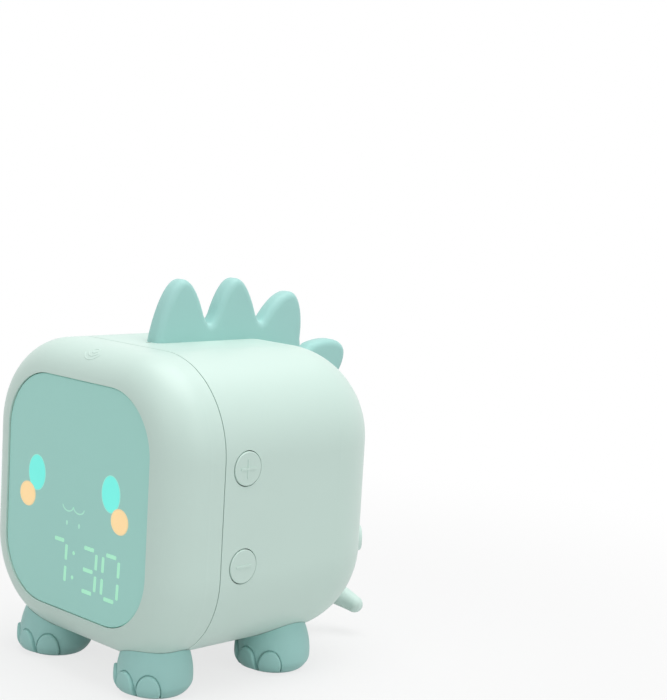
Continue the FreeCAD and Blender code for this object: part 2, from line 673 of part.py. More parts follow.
def dorsal_crest():
    tallest = TOTAL_HEIGHT - TOP_Z
    spikes = [
        spike(FRONT_Y + FIRST_SPIKE_FROM_FRONT, TOP_Z, SPIKE_HALF_WIDTH,
              tallest - FIRST_SPIKE_DROP, 0.0, POINTED_SHARES),
        spike(FRONT_Y + SECOND_SPIKE_FROM_FRONT, TOP_Z, SPIKE_HALF_WIDTH, tallest, 0.0, POINTED_SHARES),
        spike(FRONT_Y + THIRD_SPIKE_FROM_FRONT, TOP_Z - THIRD_SPIKE_BELOW_TOP, THIRD_SPIKE_HALF_WIDTH,
              THIRD_SPIKE_LENGTH, THIRD_SPIKE_TILT_DEG, ROUNDED_SHARES),
        spike(rear_spike_base_y(), TOP_Z - REAR_SPIKE_BELOW_TOP, REAR_SPIKE_HALF_WIDTH,
              REAR_SPIKE_LENGTH, REAR_SPIKE_TILT_DEG, BLUNT_SHARES),
    ]
    crest = fused(spikes).cut(body_form(-CREST_GAP))
    tabs = []
    for foot, out, sag in crest_tab_places():
        inner = -WALL - CREST_GAP - sag
        tabs.append(tab_block(foot, out, CREST_TAB_LENGTH, CREST_TAB_THICKNESS, inner - CREST_BARB_HEIGHT, WALL))
        tabs.append(tab_block(foot, out, CREST_TAB_LENGTH + 2 * CREST_BARB_GROWTH,
                              CREST_TAB_THICKNESS + 2 * CREST_BARB_GROWTH, inner - CREST_BARB_HEIGHT, inner))
    return fused([crest] + tabs)


def crest_slots():
    cutters = []
    for foot, out, _ in crest_tab_places():
        cutters.append(tab_block(foot, out, CREST_TAB_LENGTH + 2 * FIT_GAP, CREST_TAB_THICKNESS + 2 * FIT_GAP,
                                 -WALL - CUT_PAST, CUT_PAST))
    return cutters


def tail_points():
    return [vec(x, REAR_Y + behind, BOTTOM_Z + above) for x, behind, above in TAIL_COURSE]


def tail():
    """Tapered tail lofted through round sections, with a domed tip and a spigot in the shell."""
    points = tail_points()
    wires = []
    for index, (point, radius) in enumerate(zip(points, TAIL_RADII)):
        before, after = points[max(index - 1, 0)], points[min(index + 1, len(points) - 1)]
        ring = Part.makeCircle(radius)
        ring.Placement = FreeCAD.Placement(point, FreeCAD.Rotation(UP, after.sub(before)))
        wires.append(Part.Wire(ring))
    trunk = Part.makeLoft(wires, True, False)
    dome = Part.makeSphere(TAIL_RADII[-1], vec(0, 0, 0), UP, 0, 90, 360)
    dome.Placement = FreeCAD.Placement(points[-1], FreeCAD.Rotation(UP, points[-1].sub(points[-2])))
    solid = trunk.fuse(dome).cut(body_form(-CREST_GAP))
    return fused([solid, tail_spigot(TAIL_SPIGOT_RADIUS)])


def tail_spigot(radius):
    """Peg along the tail's root direction, through the rear wall."""
    points = tail_points()
    course = points[1].sub(points[0])
    course.normalize()
    start = points[0].add(course * (points[1].sub(points[0]).Length / 2 - TAIL_SPIGOT_LENGTH))
    return rod(radius, start, points[1])


def foot_profile(growth):
    """Half outline of a foot in the XZ plane, grown outwards by growth."""
    radius, belly = FOOT_RADIUS + growth, FOOT_BELLY_HEIGHT
    drop = FOOT_RADIUS - FOOT_NECK_RADIUS
    rise = FOOT_NECK_HEIGHT - belly
    sweep = (rise ** 2 + drop ** 2) / (2 * drop)
    under = FOOT_RADIUS - FOOT_SOLE_RADIUS + growth
    deep = belly + growth

    def side(z):
        return radius - sweep + math.sqrt(sweep ** 2 - (z - belly) ** 2)
    middle = belly + (FOOT_TOP - belly) / 2
    waist = vec(radius, 0, belly)
    rounding = [vec(radius - under + under * math.cos(turn), 0, belly - deep * math.sin(turn))
                for turn in (math.pi / 2, math.pi / 3, math.pi / 6, 0.0)]
    lower = Part.BSplineCurve()
    lower.interpolate(Points=rounding, InitialTangent=vec(1, 0, 0), FinalTangent=UP)
    bottom = vec(0, 0, belly - deep)
    return Part.Wire([
        Part.makeLine(bottom, rounding[0]),
        lower.toShape(),
        Part.Arc(waist, vec(side(middle), 0, middle), vec(side(FOOT_TOP), 0, FOOT_TOP)).toShape(),
        Part.makeLine(vec(side(FOOT_TOP), 0, FOOT_TOP), vec(0, 0, FOOT_TOP)),
        Part.makeLine(vec(0, 0, FOOT_TOP), bottom),
    ])


def turned(wire):
    return Part.Face(wire).revolve(vec(0, 0, 0), UP, 360)


def distance_from_axis(face):
    return math.hypot(face.CenterOfMass.x, face.CenterOfMass.y)


def nail_columns(growth):
    """Columns with the outline of the three toenails, fanned over the front of a foot at the origin."""
    reach = 2 * FOOT_RADIUS
    columns = []
    for turn in (-NAIL_FAN_DEG, 0.0, NAIL_FAN_DEG):
        column = ellipse_prism(0, NAIL_CENTRE_Z, NAIL_HALF_WIDTH + growth, NAIL_HALF_HEIGHT + growth,
                               -reach, -FOOT_RADIUS / 2)
        column = column.common(box(-reach, reach, -reach, reach, NAIL_FOOT_Z - growth, reach))
        column.rotate(vec(0, 0, 0), UP, turn)
        columns.append(column)
    return columns


def toenails():
    """Three puffed nails, rounded over where each one's face meets its side."""
    raised = turned(foot_profile(NAIL_PROUD))
    nails = []
    for column in nail_columns(0.0):
        nail = raised.common(column)
        upper, lower = sorted(nail.Faces, key=distance_from_axis)[-2:]
        shared = [edge for edge in upper.Edges if any(edge.isSame(other) for other in lower.Edges)]
        rims = [edge for edge in upper.Edges + lower.Edges if not any(edge.isSame(seam) for seam in shared)]
        nails.append(nail.makeFillet(NAIL_EDGE_ROUND, rims))
    return nails


def nail_grooves():
    """Narrow groove that runs round each nail."""
    core = turned(foot_profile(-NAIL_GROOVE_DEPTH))
    return [wide.cut(tight).cut(core) for wide, tight in zip(nail_columns(NAIL_GROOVE_WIDTH), nail_columns(0.0))]


def foot(x, y, post_y):
    """Bulbous foot with toenails and a post that goes up through the shell."""
    solid = turned(foot_profile(0.0)).cut(nail_grooves())
    solid = fused([solid] + toenails())
    solid.translate(vec(x, y, 0))
    solid = solid.cut(body_form(-CREST_GAP))
    post_top = FOOT_BOSS_TOP - CREST_GAP
    post = rod(FOOT_POST_RADIUS, vec(x, post_y, FOOT_BELLY_HEIGHT), vec(x, post_y, post_top))
    solid = fused([solid, post])
    return solid.cut(pilot(vec(x, post_y, post_top), UP.negative(), FOOT_SCREW_SHANK, FOOT_SCREW_LENGTH))


def foot_screws():
    screws = [screw(vec(x, post_y, FOOT_BOSS_TOP), UP.negative(), FOOT_SCREW_HEAD, FOOT_SCREW_SHANK,
                    FOOT_SCREW_HEAD_HEIGHT, FOOT_SCREW_LENGTH) for x, _, post_y in foot_places().values()]
    return Part.makeCompound(screws)


def battery_y():
    return FRONT_Y + BATTERY_FROM_FRONT


def battery():
    half = BATTERY_LENGTH / 2
    cell = rod(BATTERY_RADIUS, vec(-half, battery_y(), BATTERY_AXIS_Z), vec(half, battery_y(), BATTERY_AXIS_Z))
    ends = [edge for edge in cell.Edges if edge.BoundBox.XLength < 1e-3]
    return cell.makeFillet(BATTERY_EDGE_ROUND, ends)


def cradle_ribs():
    """Two saddles on the floor of the rear housing that the cell lies in."""
    ribs = []
    half = BATTERY_RADIUS + CRADLE_OVERHANG
    for side in SIDES:
        rib = box(side * CRADLE_X - CRADLE_THICKNESS / 2, side * CRADLE_X + CRADLE_THICKNESS / 2,
                  battery_y() - half, battery_y() + half, BOTTOM_Z, BATTERY_AXIS_Z - CRADLE_OVERHANG)
        cell = rod(BATTERY_RADIUS + BATTERY_GAP, vec(-BODY_WIDTH, battery_y(), BATTERY_AXIS_Z),
                   vec(BODY_WIDTH, battery_y(), BATTERY_AXIS_Z))
        ribs.append(rib.common(body_form(WALL / 2)).cut(cell))
    return ribs


def strap_screw_places():
    reach = BATTERY_RADIUS + BATTERY_GAP + STRAP_THICKNESS + STRAP_FOOT_LENGTH / 2
    return [battery_y() - reach, battery_y() + reach]


def strap_foot_z():
    return BATTERY_AXIS_Z - STRAP_FOOT_DROP


def battery_strap():
    """Bent strip over the cell with a foot on each side."""
    inner = BATTERY_RADIUS + BATTERY_GAP
    outer = inner + STRAP_THICKNESS
    half = STRAP_WIDTH / 2
    y, z, foot_z = battery_y(), BATTERY_AXIS_Z, strap_foot_z()
    start, end = vec(-half, y, z), vec(half, y, z)
    arch = rod(outer, start, end).cut(rod(inner, start, end))
    arch = arch.common(box(-half, half, y - outer, y + outer, z, z + outer))
    parts = [arch]
    for direction in SIDES:
        leg = sorted((y + direction * inner, y + direction * outer))
        parts.append(box(-half, half, leg[0], leg[1], foot_z, z))
        sole = sorted((y + direction * inner, y + direction * (outer + STRAP_FOOT_LENGTH)))
        parts.append(box(-half, half, sole[0], sole[1], foot_z, foot_z + STRAP_THICKNESS))
    strap = fused(parts)
    z0, z1 = foot_z - CUT_PAST, foot_z + STRAP_THICKNESS + CUT_PAST
    return strap.cut([rod(SCREW_SHANK_RADIUS + FIT_GAP, vec(0, place, z0), vec(0, place, z1))
                      for place in strap_screw_places()])


def main_board_top():
    return PORT_Z - SOCKET_HEIGHT / 2 - TOUCH_GAP


def main_board_y():
    end = REAR_Y - MAIN_BOARD_BEFORE_REAR
    return end - MAIN_BOARD_DEPTH, end


def main_post_places():
    y0, y1 = main_board_y()
    rows = (y0 + MAIN_POST_FRONT_INSET, y1 - MAIN_POST_REAR_INSET)
    return [(side * MAIN_POST_X, y) for side in SIDES for y in rows]


def main_board():
    y0, y1 = main_board_y()
    top = main_board_top()
    board = box(-MAIN_BOARD_HALF_WIDTH, MAIN_BOARD_HALF_WIDTH, y0, y1, top - BOARD_THICKNESS, top)
    z0, z1 = top - BOARD_THICKNESS - CUT_PAST, top + CUT_PAST
    holes = [rod(SCREW_SHANK_RADIUS + FIT_GAP, vec(x, y, z0), vec(x, y, z1)) for x, y in main_post_places()]
    return board.cut(holes)


def board_components():
    """Processor, charging chip, coil and capacitors that stand on the main board."""
    z = main_board_top()
    middle = sum(main_board_y()) / 2
    parts = []
    for x, y, size, height in ((0.0, 0.0, PROCESSOR_SIZE, PROCESSOR_HEIGHT),
                               (CHARGER_X, 0.0, CHARGER_SIZE, PROCESSOR_HEIGHT),
                               (-CHARGER_X, COIL_SIZE / 2, COIL_SIZE, COIL_HEIGHT)):
        half = size / 2
        parts.append(box(x - half, x + half, middle + y - half, middle + y + half, z, z + height))
    for place in (1, 2):
        x, y = -PROCESSOR_SIZE / 2 - 2 * place * CAPACITOR_RADIUS, middle - PROCESSOR_SIZE / 2
        parts.append(rod(CAPACITOR_RADIUS, vec(x, y, z), vec(x, y, z + CAPACITOR_HEIGHT)))
    return Part.makeCompound(parts)


def stadium(half_x, half_z, y0, y1, x, z):
    """Bar along Y with fully round ends in its wider direction."""
    return plate(half_x, half_z, half_z - 0.01, y0, y1, x, z)


def socket_mouth_y():
    return REAR_Y - PORT_RECESS_DEPTH - TOUCH_GAP


def usb_socket():
    y1 = socket_mouth_y()
    y0 = y1 - SOCKET_LENGTH
    shell = stadium(SOCKET_WIDTH / 2, SOCKET_HEIGHT / 2, y0, y1, PORT_X, PORT_Z)
    mouth = stadium(SOCKET_WIDTH / 2 - SOCKET_SKIN, SOCKET_HEIGHT / 2 - SOCKET_SKIN, y0 + SOCKET_BACK, y1 + CUT_PAST,
                    PORT_X, PORT_Z)
    half_x, half_z = SOCKET_TONGUE_WIDTH / 2, SOCKET_TONGUE_THICKNESS / 2
    tongue = box(PORT_X - half_x, PORT_X + half_x, y0 + SOCKET_BACK / 2, y1 - SOCKET_TONGUE_SETBACK,
                 PORT_Z - half_z, PORT_Z + half_z)
    return fused([shell.cut(mouth), tongue])


def cover_sheet():
    """Skin just outside the body, cut to the outline of the whole port cover."""
    skin = body_form(-COVER_THICKNESS).cut(body_form(-TOUCH_GAP))
    half = (COVER_RIGHT_X - COVER_LEFT_X) / 2
    middle = (COVER_RIGHT_X + COVER_LEFT_X) / 2
    return skin.common(stadium(half, COVER_HEIGHT / 2, CENTRE_Z / 4, REAR_Y + 2 * COVER_THICKNESS, middle, PORT_Z))


def half_space_x(x0, x1):
    reach = BODY_WIDTH
    return box(x0, x1, 0, reach, 0, reach)


def port_cover():
    """Soft flap with a shallow tongue that fills the port's recess."""
    flap = cover_sheet().common(half_space_x(COVER_SPLIT_X + COVER_SPLIT_GAP, BODY_WIDTH))
    tongue = stadium(PORT_RECESS_HALF_WIDTH - COVER_TONGUE_GAP, PORT_RECESS_HALF_HEIGHT - COVER_TONGUE_GAP,
                     REAR_Y - COVER_TONGUE_DEPTH, REAR_Y + COVER_THICKNESS / 2, PORT_X, PORT_Z)
    return fused([flap, tongue])


def port_cover_anchor():
    """Fixed root of the cover, pegged through the wall."""
    root = cover_sheet().common(half_space_x(0, COVER_SPLIT_X))
    peg_x = (COVER_LEFT_X + COVER_SPLIT_X) / 2
    peg = rod(ANCHOR_PEG_RADIUS, vec(peg_x, REAR_Y - WALL - CUT_PAST, PORT_Z),
              vec(peg_x, REAR_Y + COVER_THICKNESS / 2, PORT_Z))
    return fused([root, peg])


def anchor_hole():
    peg_x = (COVER_LEFT_X + COVER_SPLIT_X) / 2
    return rod(ANCHOR_PEG_RADIUS + FIT_GAP, vec(peg_x, REAR_Y - 2 * WALL, PORT_Z),
               vec(peg_x, REAR_Y + CUT_PAST, PORT_Z))


def port_cutters():
    recess = stadium(PORT_RECESS_HALF_WIDTH, PORT_RECESS_HALF_HEIGHT, REAR_Y - PORT_RECESS_DEPTH, REAR_Y + CUT_PAST,
                     PORT_X, PORT_Z)
    opening = stadium(SOCKET_WIDTH / 2 + SOCKET_GAP, SOCKET_HEIGHT / 2 + SOCKET_GAP, REAR_Y - 2 * WALL, REAR_Y,
                      PORT_X, PORT_Z)
    return [recess, opening]


def sound_holes():
    """Rings of round holes in front of the speaker cone."""
    places = [(0.0, 0.0)]
    for ring in range(1, SOUND_HOLE_RINGS + 1):
        for step in range(6 * ring):
            angle = 2 * math.pi * step / (6 * ring)
            radius = ring * SOUND_HOLE_PITCH
            places.append((radius * math.cos(angle), radius * math.sin(angle)))
    y0, y1 = REAR_Y - 2 * WALL, REAR_Y + CUT_PAST
    return [rod(SOUND_HOLE_RADIUS, vec(x, y0, SPEAKER_Z + z), vec(x, y1, SPEAKER_Z + z)) for x, z in places]


def speaker_seat_y():
    return REAR_Y - WALL - SPEAKER_SEAT


def speaker_screw_places():
    head_seat_y = speaker_seat_y() - TOUCH_GAP - SPEAKER_FLANGE
    return [vec(side * SPEAKER_EAR_X, head_seat_y, SPEAKER_Z) for side in SIDES]


def cone_frustum(radius_front, radius_back, y_front, y_back):
    """Cone along Y between two radii."""
    return Part.makeCone(radius_back, radius_front, y_front - y_back, vec(0, y_back, SPEAKER_Z), REARWARD)


def speaker_frame():
    """Flange with ears and an open basket down to the magnet."""
    y1 = speaker_seat_y() - TOUCH_GAP
    y0 = y1 - SPEAKER_FLANGE
    back = y1 - SPEAKER_DEPTH
    ring = rod(SPEAKER_RADIUS, vec(0, y0, SPEAKER_Z), vec(0, y1, SPEAKER_Z))
    ears = [rod(SPEAKER_EAR_RADIUS, vec(x, y0, SPEAKER_Z), vec(x, y1, SPEAKER_Z))
            for x in (-SPEAKER_EAR_X, SPEAKER_EAR_X)]
    wall = SPEAKER_FLANGE
    basket = cone_frustum(SPEAKER_CONE_RADIUS + 2 * wall, MAGNET_RADIUS + wall, y0, back)
    frame = fused([ring, basket] + ears)
    inside = cone_frustum(SPEAKER_CONE_RADIUS + wall, MAGNET_RADIUS, y1 + TOUCH_GAP, back + wall)
    narrow, wide = SPEAKER_WINDOW_WIDTH / 2, SPEAKER_RADIUS
    low_y, high_y = back + 1.5 * wall, y0 - wall
    windows = [box(-half_x, half_x, low_y, high_y, SPEAKER_Z - half_z, SPEAKER_Z + half_z)
               for half_x, half_z in ((narrow, wide), (wide, narrow))]
    holes = [rod(SCREW_SHANK_RADIUS + FIT_GAP, place, place.add(REARWARD * (2 * SPEAKER_FLANGE)))
             for place in speaker_screw_places()]
    return frame.cut([inside] + windows + holes)


def speaker_cone():
    """Paper cone with its dust cap, hung inside the frame's flange."""
    y1 = speaker_seat_y() - TOUCH_GAP
    y0 = y1 - SPEAKER_DEPTH / 2
    paper = cone_frustum(SPEAKER_CONE_RADIUS, MAGNET_RADIUS / 2, y1, y0)
    skin = CONE_PAPER_THICKNESS
    hollow = cone_frustum(SPEAKER_CONE_RADIUS - skin, MAGNET_RADIUS / 2 - skin, y1 + TOUCH_GAP, y0 + skin)
    surround = rod(SPEAKER_CONE_RADIUS + CONE_SURROUND_OUTSIDE, vec(0, y1 - skin, SPEAKER_Z), vec(0, y1, SPEAKER_Z))
    surround = surround.cut(rod(SPEAKER_CONE_RADIUS - CONE_SURROUND_INSIDE, vec(0, y0, SPEAKER_Z),
                                vec(0, y1 + CUT_PAST, SPEAKER_Z)))
    return fused([paper.cut(hollow), surround])


def speaker_magnet():
    back = speaker_seat_y() - TOUCH_GAP - SPEAKER_DEPTH
    return rod(MAGNET_RADIUS, vec(0, back - MAGNET_HEIGHT, SPEAKER_Z), vec(0, back, SPEAKER_Z))


def speaker_bosses():
    """Ring and two screw bosses that stand in from the rear wall."""
    wall_y, seat = REAR_Y - WALL / 2, speaker_seat_y()
    ring = rod(SPEAKER_RADIUS, vec(0, seat, SPEAKER_Z), vec(0, wall_y, SPEAKER_Z))
    ring = ring.cut(rod(SPEAKER_CONE_RADIUS + WALL / 2, vec(0, seat - CUT_PAST, SPEAKER_Z),
                        vec(0, wall_y + CUT_PAST, SPEAKER_Z)))
    bosses = [rod(SPEAKER_EAR_RADIUS, vec(side * SPEAKER_EAR_X, seat, SPEAKER_Z),
                  vec(side * SPEAKER_EAR_X, wall_y, SPEAKER_Z)) for side in SIDES]
    return [ring] + bosses


def rear_posts():
    """Posts for the key boards, the main board, the strap and the rear feet."""
    posts = []
    board_x = key_board_front_x() - TOUCH_GAP
    for side in SIDES:
        for z in key_post_heights():
            start, end = vec(side * board_x, BUTTON_Y, z), vec(side * (INNER_X + WALL / 2), BUTTON_Y, z)
            posts.append(rod(BOSS_RADIUS, start, end))
    top = main_board_top() - BOARD_THICKNESS
    for x, y in main_post_places():
        posts.append(rod(BOSS_RADIUS, vec(x, y, BOTTOM_Z), vec(x, y, top)))
    for y in strap_screw_places():
        posts.append(rod(BOSS_RADIUS, vec(0, y, BOTTOM_Z), vec(0, y, strap_foot_z() - TOUCH_GAP)))
    return [post.common(body_form(WALL / 2)) for post in posts]


def rear_pilots():
    holes = []
    board_x = key_board_front_x() - TOUCH_GAP - BOARD_THICKNESS
    for side in SIDES:
        for z in key_post_heights():
            holes.append(pilot(vec(side * board_x, BUTTON_Y, z), vec(side, 0, 0), SCREW_SHANK_RADIUS, SCREW_LENGTH))
    for x, y in main_post_places():
        holes.append(pilot(vec(x, y, main_board_top()), UP.negative()))
    for y in strap_screw_places():
        holes.append(pilot(vec(0, y, strap_foot_z() + STRAP_THICKNESS), UP.negative(), length=SHORT_SCREW_LENGTH))
    for place in speaker_screw_places():
        holes.append(pilot(place, REARWARD, SCREW_SHANK_RADIUS, SPEAKER_SEAT + SPEAKER_FLANGE - SCREW_SHANK_RADIUS))
    return holes


def rear_housing():
    shell = body_form(0).cut(cavity()).common(slab(SEAM_Y + SEAM_GAP / 2, REAR_Y + CUT_PAST))
    parts = [shell] + rear_posts() + cradle_ribs() + speaker_bosses()
    feet = foot_places()
    for name in ("foot_rear_right", "foot_rear_left"):
        parts.append(foot_boss(feet[name][0], feet[name][2], WALL / 2))
    shell = fused(parts)
    cutters = [foot_post_hole(x, post_y) for x, _, post_y in feet.values()]
    for side in SIDES:
        for z in button_heights():
            cutters.append(rod(BUTTON_RADIUS, vec(side * (INNER_X - CUT_PAST), BUTTON_Y, z),
                               vec(side * BODY_WIDTH, BUTTON_Y, z)))
    cutters += crest_slots() + port_cutters() + sound_holes() + rear_pilots()
    cutters += [anchor_hole(), tail_spigot(TAIL_SPIGOT_RADIUS + FIT_GAP)]
    return shell.cut(cutters)


def board_screws():
    """Screws of the display board, the main board and the two key boards."""
    screws = [screw(vec(x, DISPLAY_BOARD_Y + BOARD_THICKNESS, z), REARWARD.negative())
              for x, z in display_boss_places()]
    screws += [screw(vec(x, y, main_board_top()), UP.negative()) for x, y in main_post_places()]
    board_x = key_board_front_x() - TOUCH_GAP - BOARD_THICKNESS
    for side in SIDES:
        screws += [screw(vec(side * board_x, BUTTON_Y, z), vec(side, 0, 0)) for z in key_post_heights()]
    return Part.makeCompound(screws)


def clamp_screws():
    """Short screws of the battery strap and the speaker."""
    strap = [screw(vec(0, y, strap_foot_z() + STRAP_THICKNESS), UP.negative(), length=SHORT_SCREW_LENGTH)
             for y in strap_screw_places()]
    ears = [screw(place, REARWARD, length=SPEAKER_SEAT + SPEAKER_FLANGE - SCREW_SHANK_RADIUS)
            for place in speaker_screw_places()]
    return Part.makeCompound(strap + ears)


def nodes():
    """Every piece by its name."""
    pieces = {
        "front_housing": front_housing(),
        "rear_housing": rear_housing(),
        "display_lens": display_lens(),
        "light_baffle": light_baffle(),
        "display_board": display_board(),
        "segment_leds": segment_leds(),
        "night_light_leds": night_light_leds(),
        "main_board": main_board(),
        "board_components": board_components(),
        "usb_socket": usb_socket(),
        "battery": battery(),
        "battery_strap": battery_strap(),
        "speaker_frame": speaker_frame(),
        "speaker_cone": speaker_cone(),
        "speaker_magnet": speaker_magnet(),
        "dorsal_crest": dorsal_crest(),
        "tail": tail(),
        "touch_pad": touch_pad(),
        "right_key_board": key_board(1),
        "left_key_board": key_board(-1),
        "tact_switches": tact_switches(),
        "port_cover": port_cover(),
        "port_cover_anchor": port_cover_anchor(),
        "foot_screws": foot_screws(),
        "board_screws": board_screws(),
        "clamp_screws": clamp_screws(),
    }
    for name, (x, y, post_y) in foot_places().items():
        pieces[name] = foot(x, y, post_y)
    keys = {"plus": (1, UPPER_BUTTON_Z), "minus": (1, LOWER_BUTTON_Z),
            "mode": (-1, UPPER_BUTTON_Z), "alarm": (-1, LOWER_BUTTON_Z)}
    for name, (side, z) in keys.items():
        pieces[name + "_button"] = button(side, z)
        pieces[name + "_plunger"] = plunger(side, z)
    return pieces


def main():
    os.makedirs("parts", exist_ok=True)
    for name, shape in nodes().items():
        shape.exportStep(os.path.join("parts", name + ".step"))
        state = "valid" if shape.isValid() else "NOT VALID"
        print(name, len(shape.Solids), "solid(s)", round(shape.Volume, 1), "mm3", state)


main()
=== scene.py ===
"""A child's alarm clock with a night light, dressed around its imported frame."""

import json
import logging
import math
from dataclasses import dataclass, field
from enum import Enum
from typing import ClassVar

import bmesh
import bpy
from mathutils import Matrix, Vector, geometry
from mathutils.bvhtree import BVHTree


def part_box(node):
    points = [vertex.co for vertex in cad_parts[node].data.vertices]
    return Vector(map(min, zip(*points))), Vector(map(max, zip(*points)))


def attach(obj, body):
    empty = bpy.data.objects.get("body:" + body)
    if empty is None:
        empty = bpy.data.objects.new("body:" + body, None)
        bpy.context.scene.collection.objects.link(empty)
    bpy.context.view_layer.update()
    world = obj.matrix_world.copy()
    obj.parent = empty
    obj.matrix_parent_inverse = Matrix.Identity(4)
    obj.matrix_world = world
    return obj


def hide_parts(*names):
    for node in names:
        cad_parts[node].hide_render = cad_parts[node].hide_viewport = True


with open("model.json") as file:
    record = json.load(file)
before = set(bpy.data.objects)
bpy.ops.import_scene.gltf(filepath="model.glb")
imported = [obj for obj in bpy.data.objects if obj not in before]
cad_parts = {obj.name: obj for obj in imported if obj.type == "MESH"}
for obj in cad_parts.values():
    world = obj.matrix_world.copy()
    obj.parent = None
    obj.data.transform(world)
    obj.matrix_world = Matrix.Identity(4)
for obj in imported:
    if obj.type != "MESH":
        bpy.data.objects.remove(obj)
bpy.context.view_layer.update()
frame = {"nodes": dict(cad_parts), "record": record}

LOG = logging.getLogger("alarm_clock")
MM = 0.001

WHITE = (1.0, 1.0, 1.0, 1.0)
CORNER_STEPS = 4

Colour = tuple[float, float, float]
Point = tuple[float, float]
Outline = list[Point]


def linear(colour: Colour) -> tuple[float, float, float, float]:
    """Turn a colour as it is seen into the linear values a shader takes.

    Args:
        colour: Red, green and blue from 0 to 1, as on a screen.

    Returns:
        The linear colour with an alpha of 1.
    """
    parts = [c / 12.92 if c <= 0.04045 else ((c + 0.055) / 1.055) ** 2.4 for c in colour]
    return parts[0], parts[1], parts[2], 1.0


class Surface(Enum):
    """How a moulded surface is textured, by the size of its grain in metres."""

    PAINTED = 0.00045
    SILICONE = 0.0007
    GLOSSY = 0.004
    BOARD = 0.0012
    METAL = 0.0003


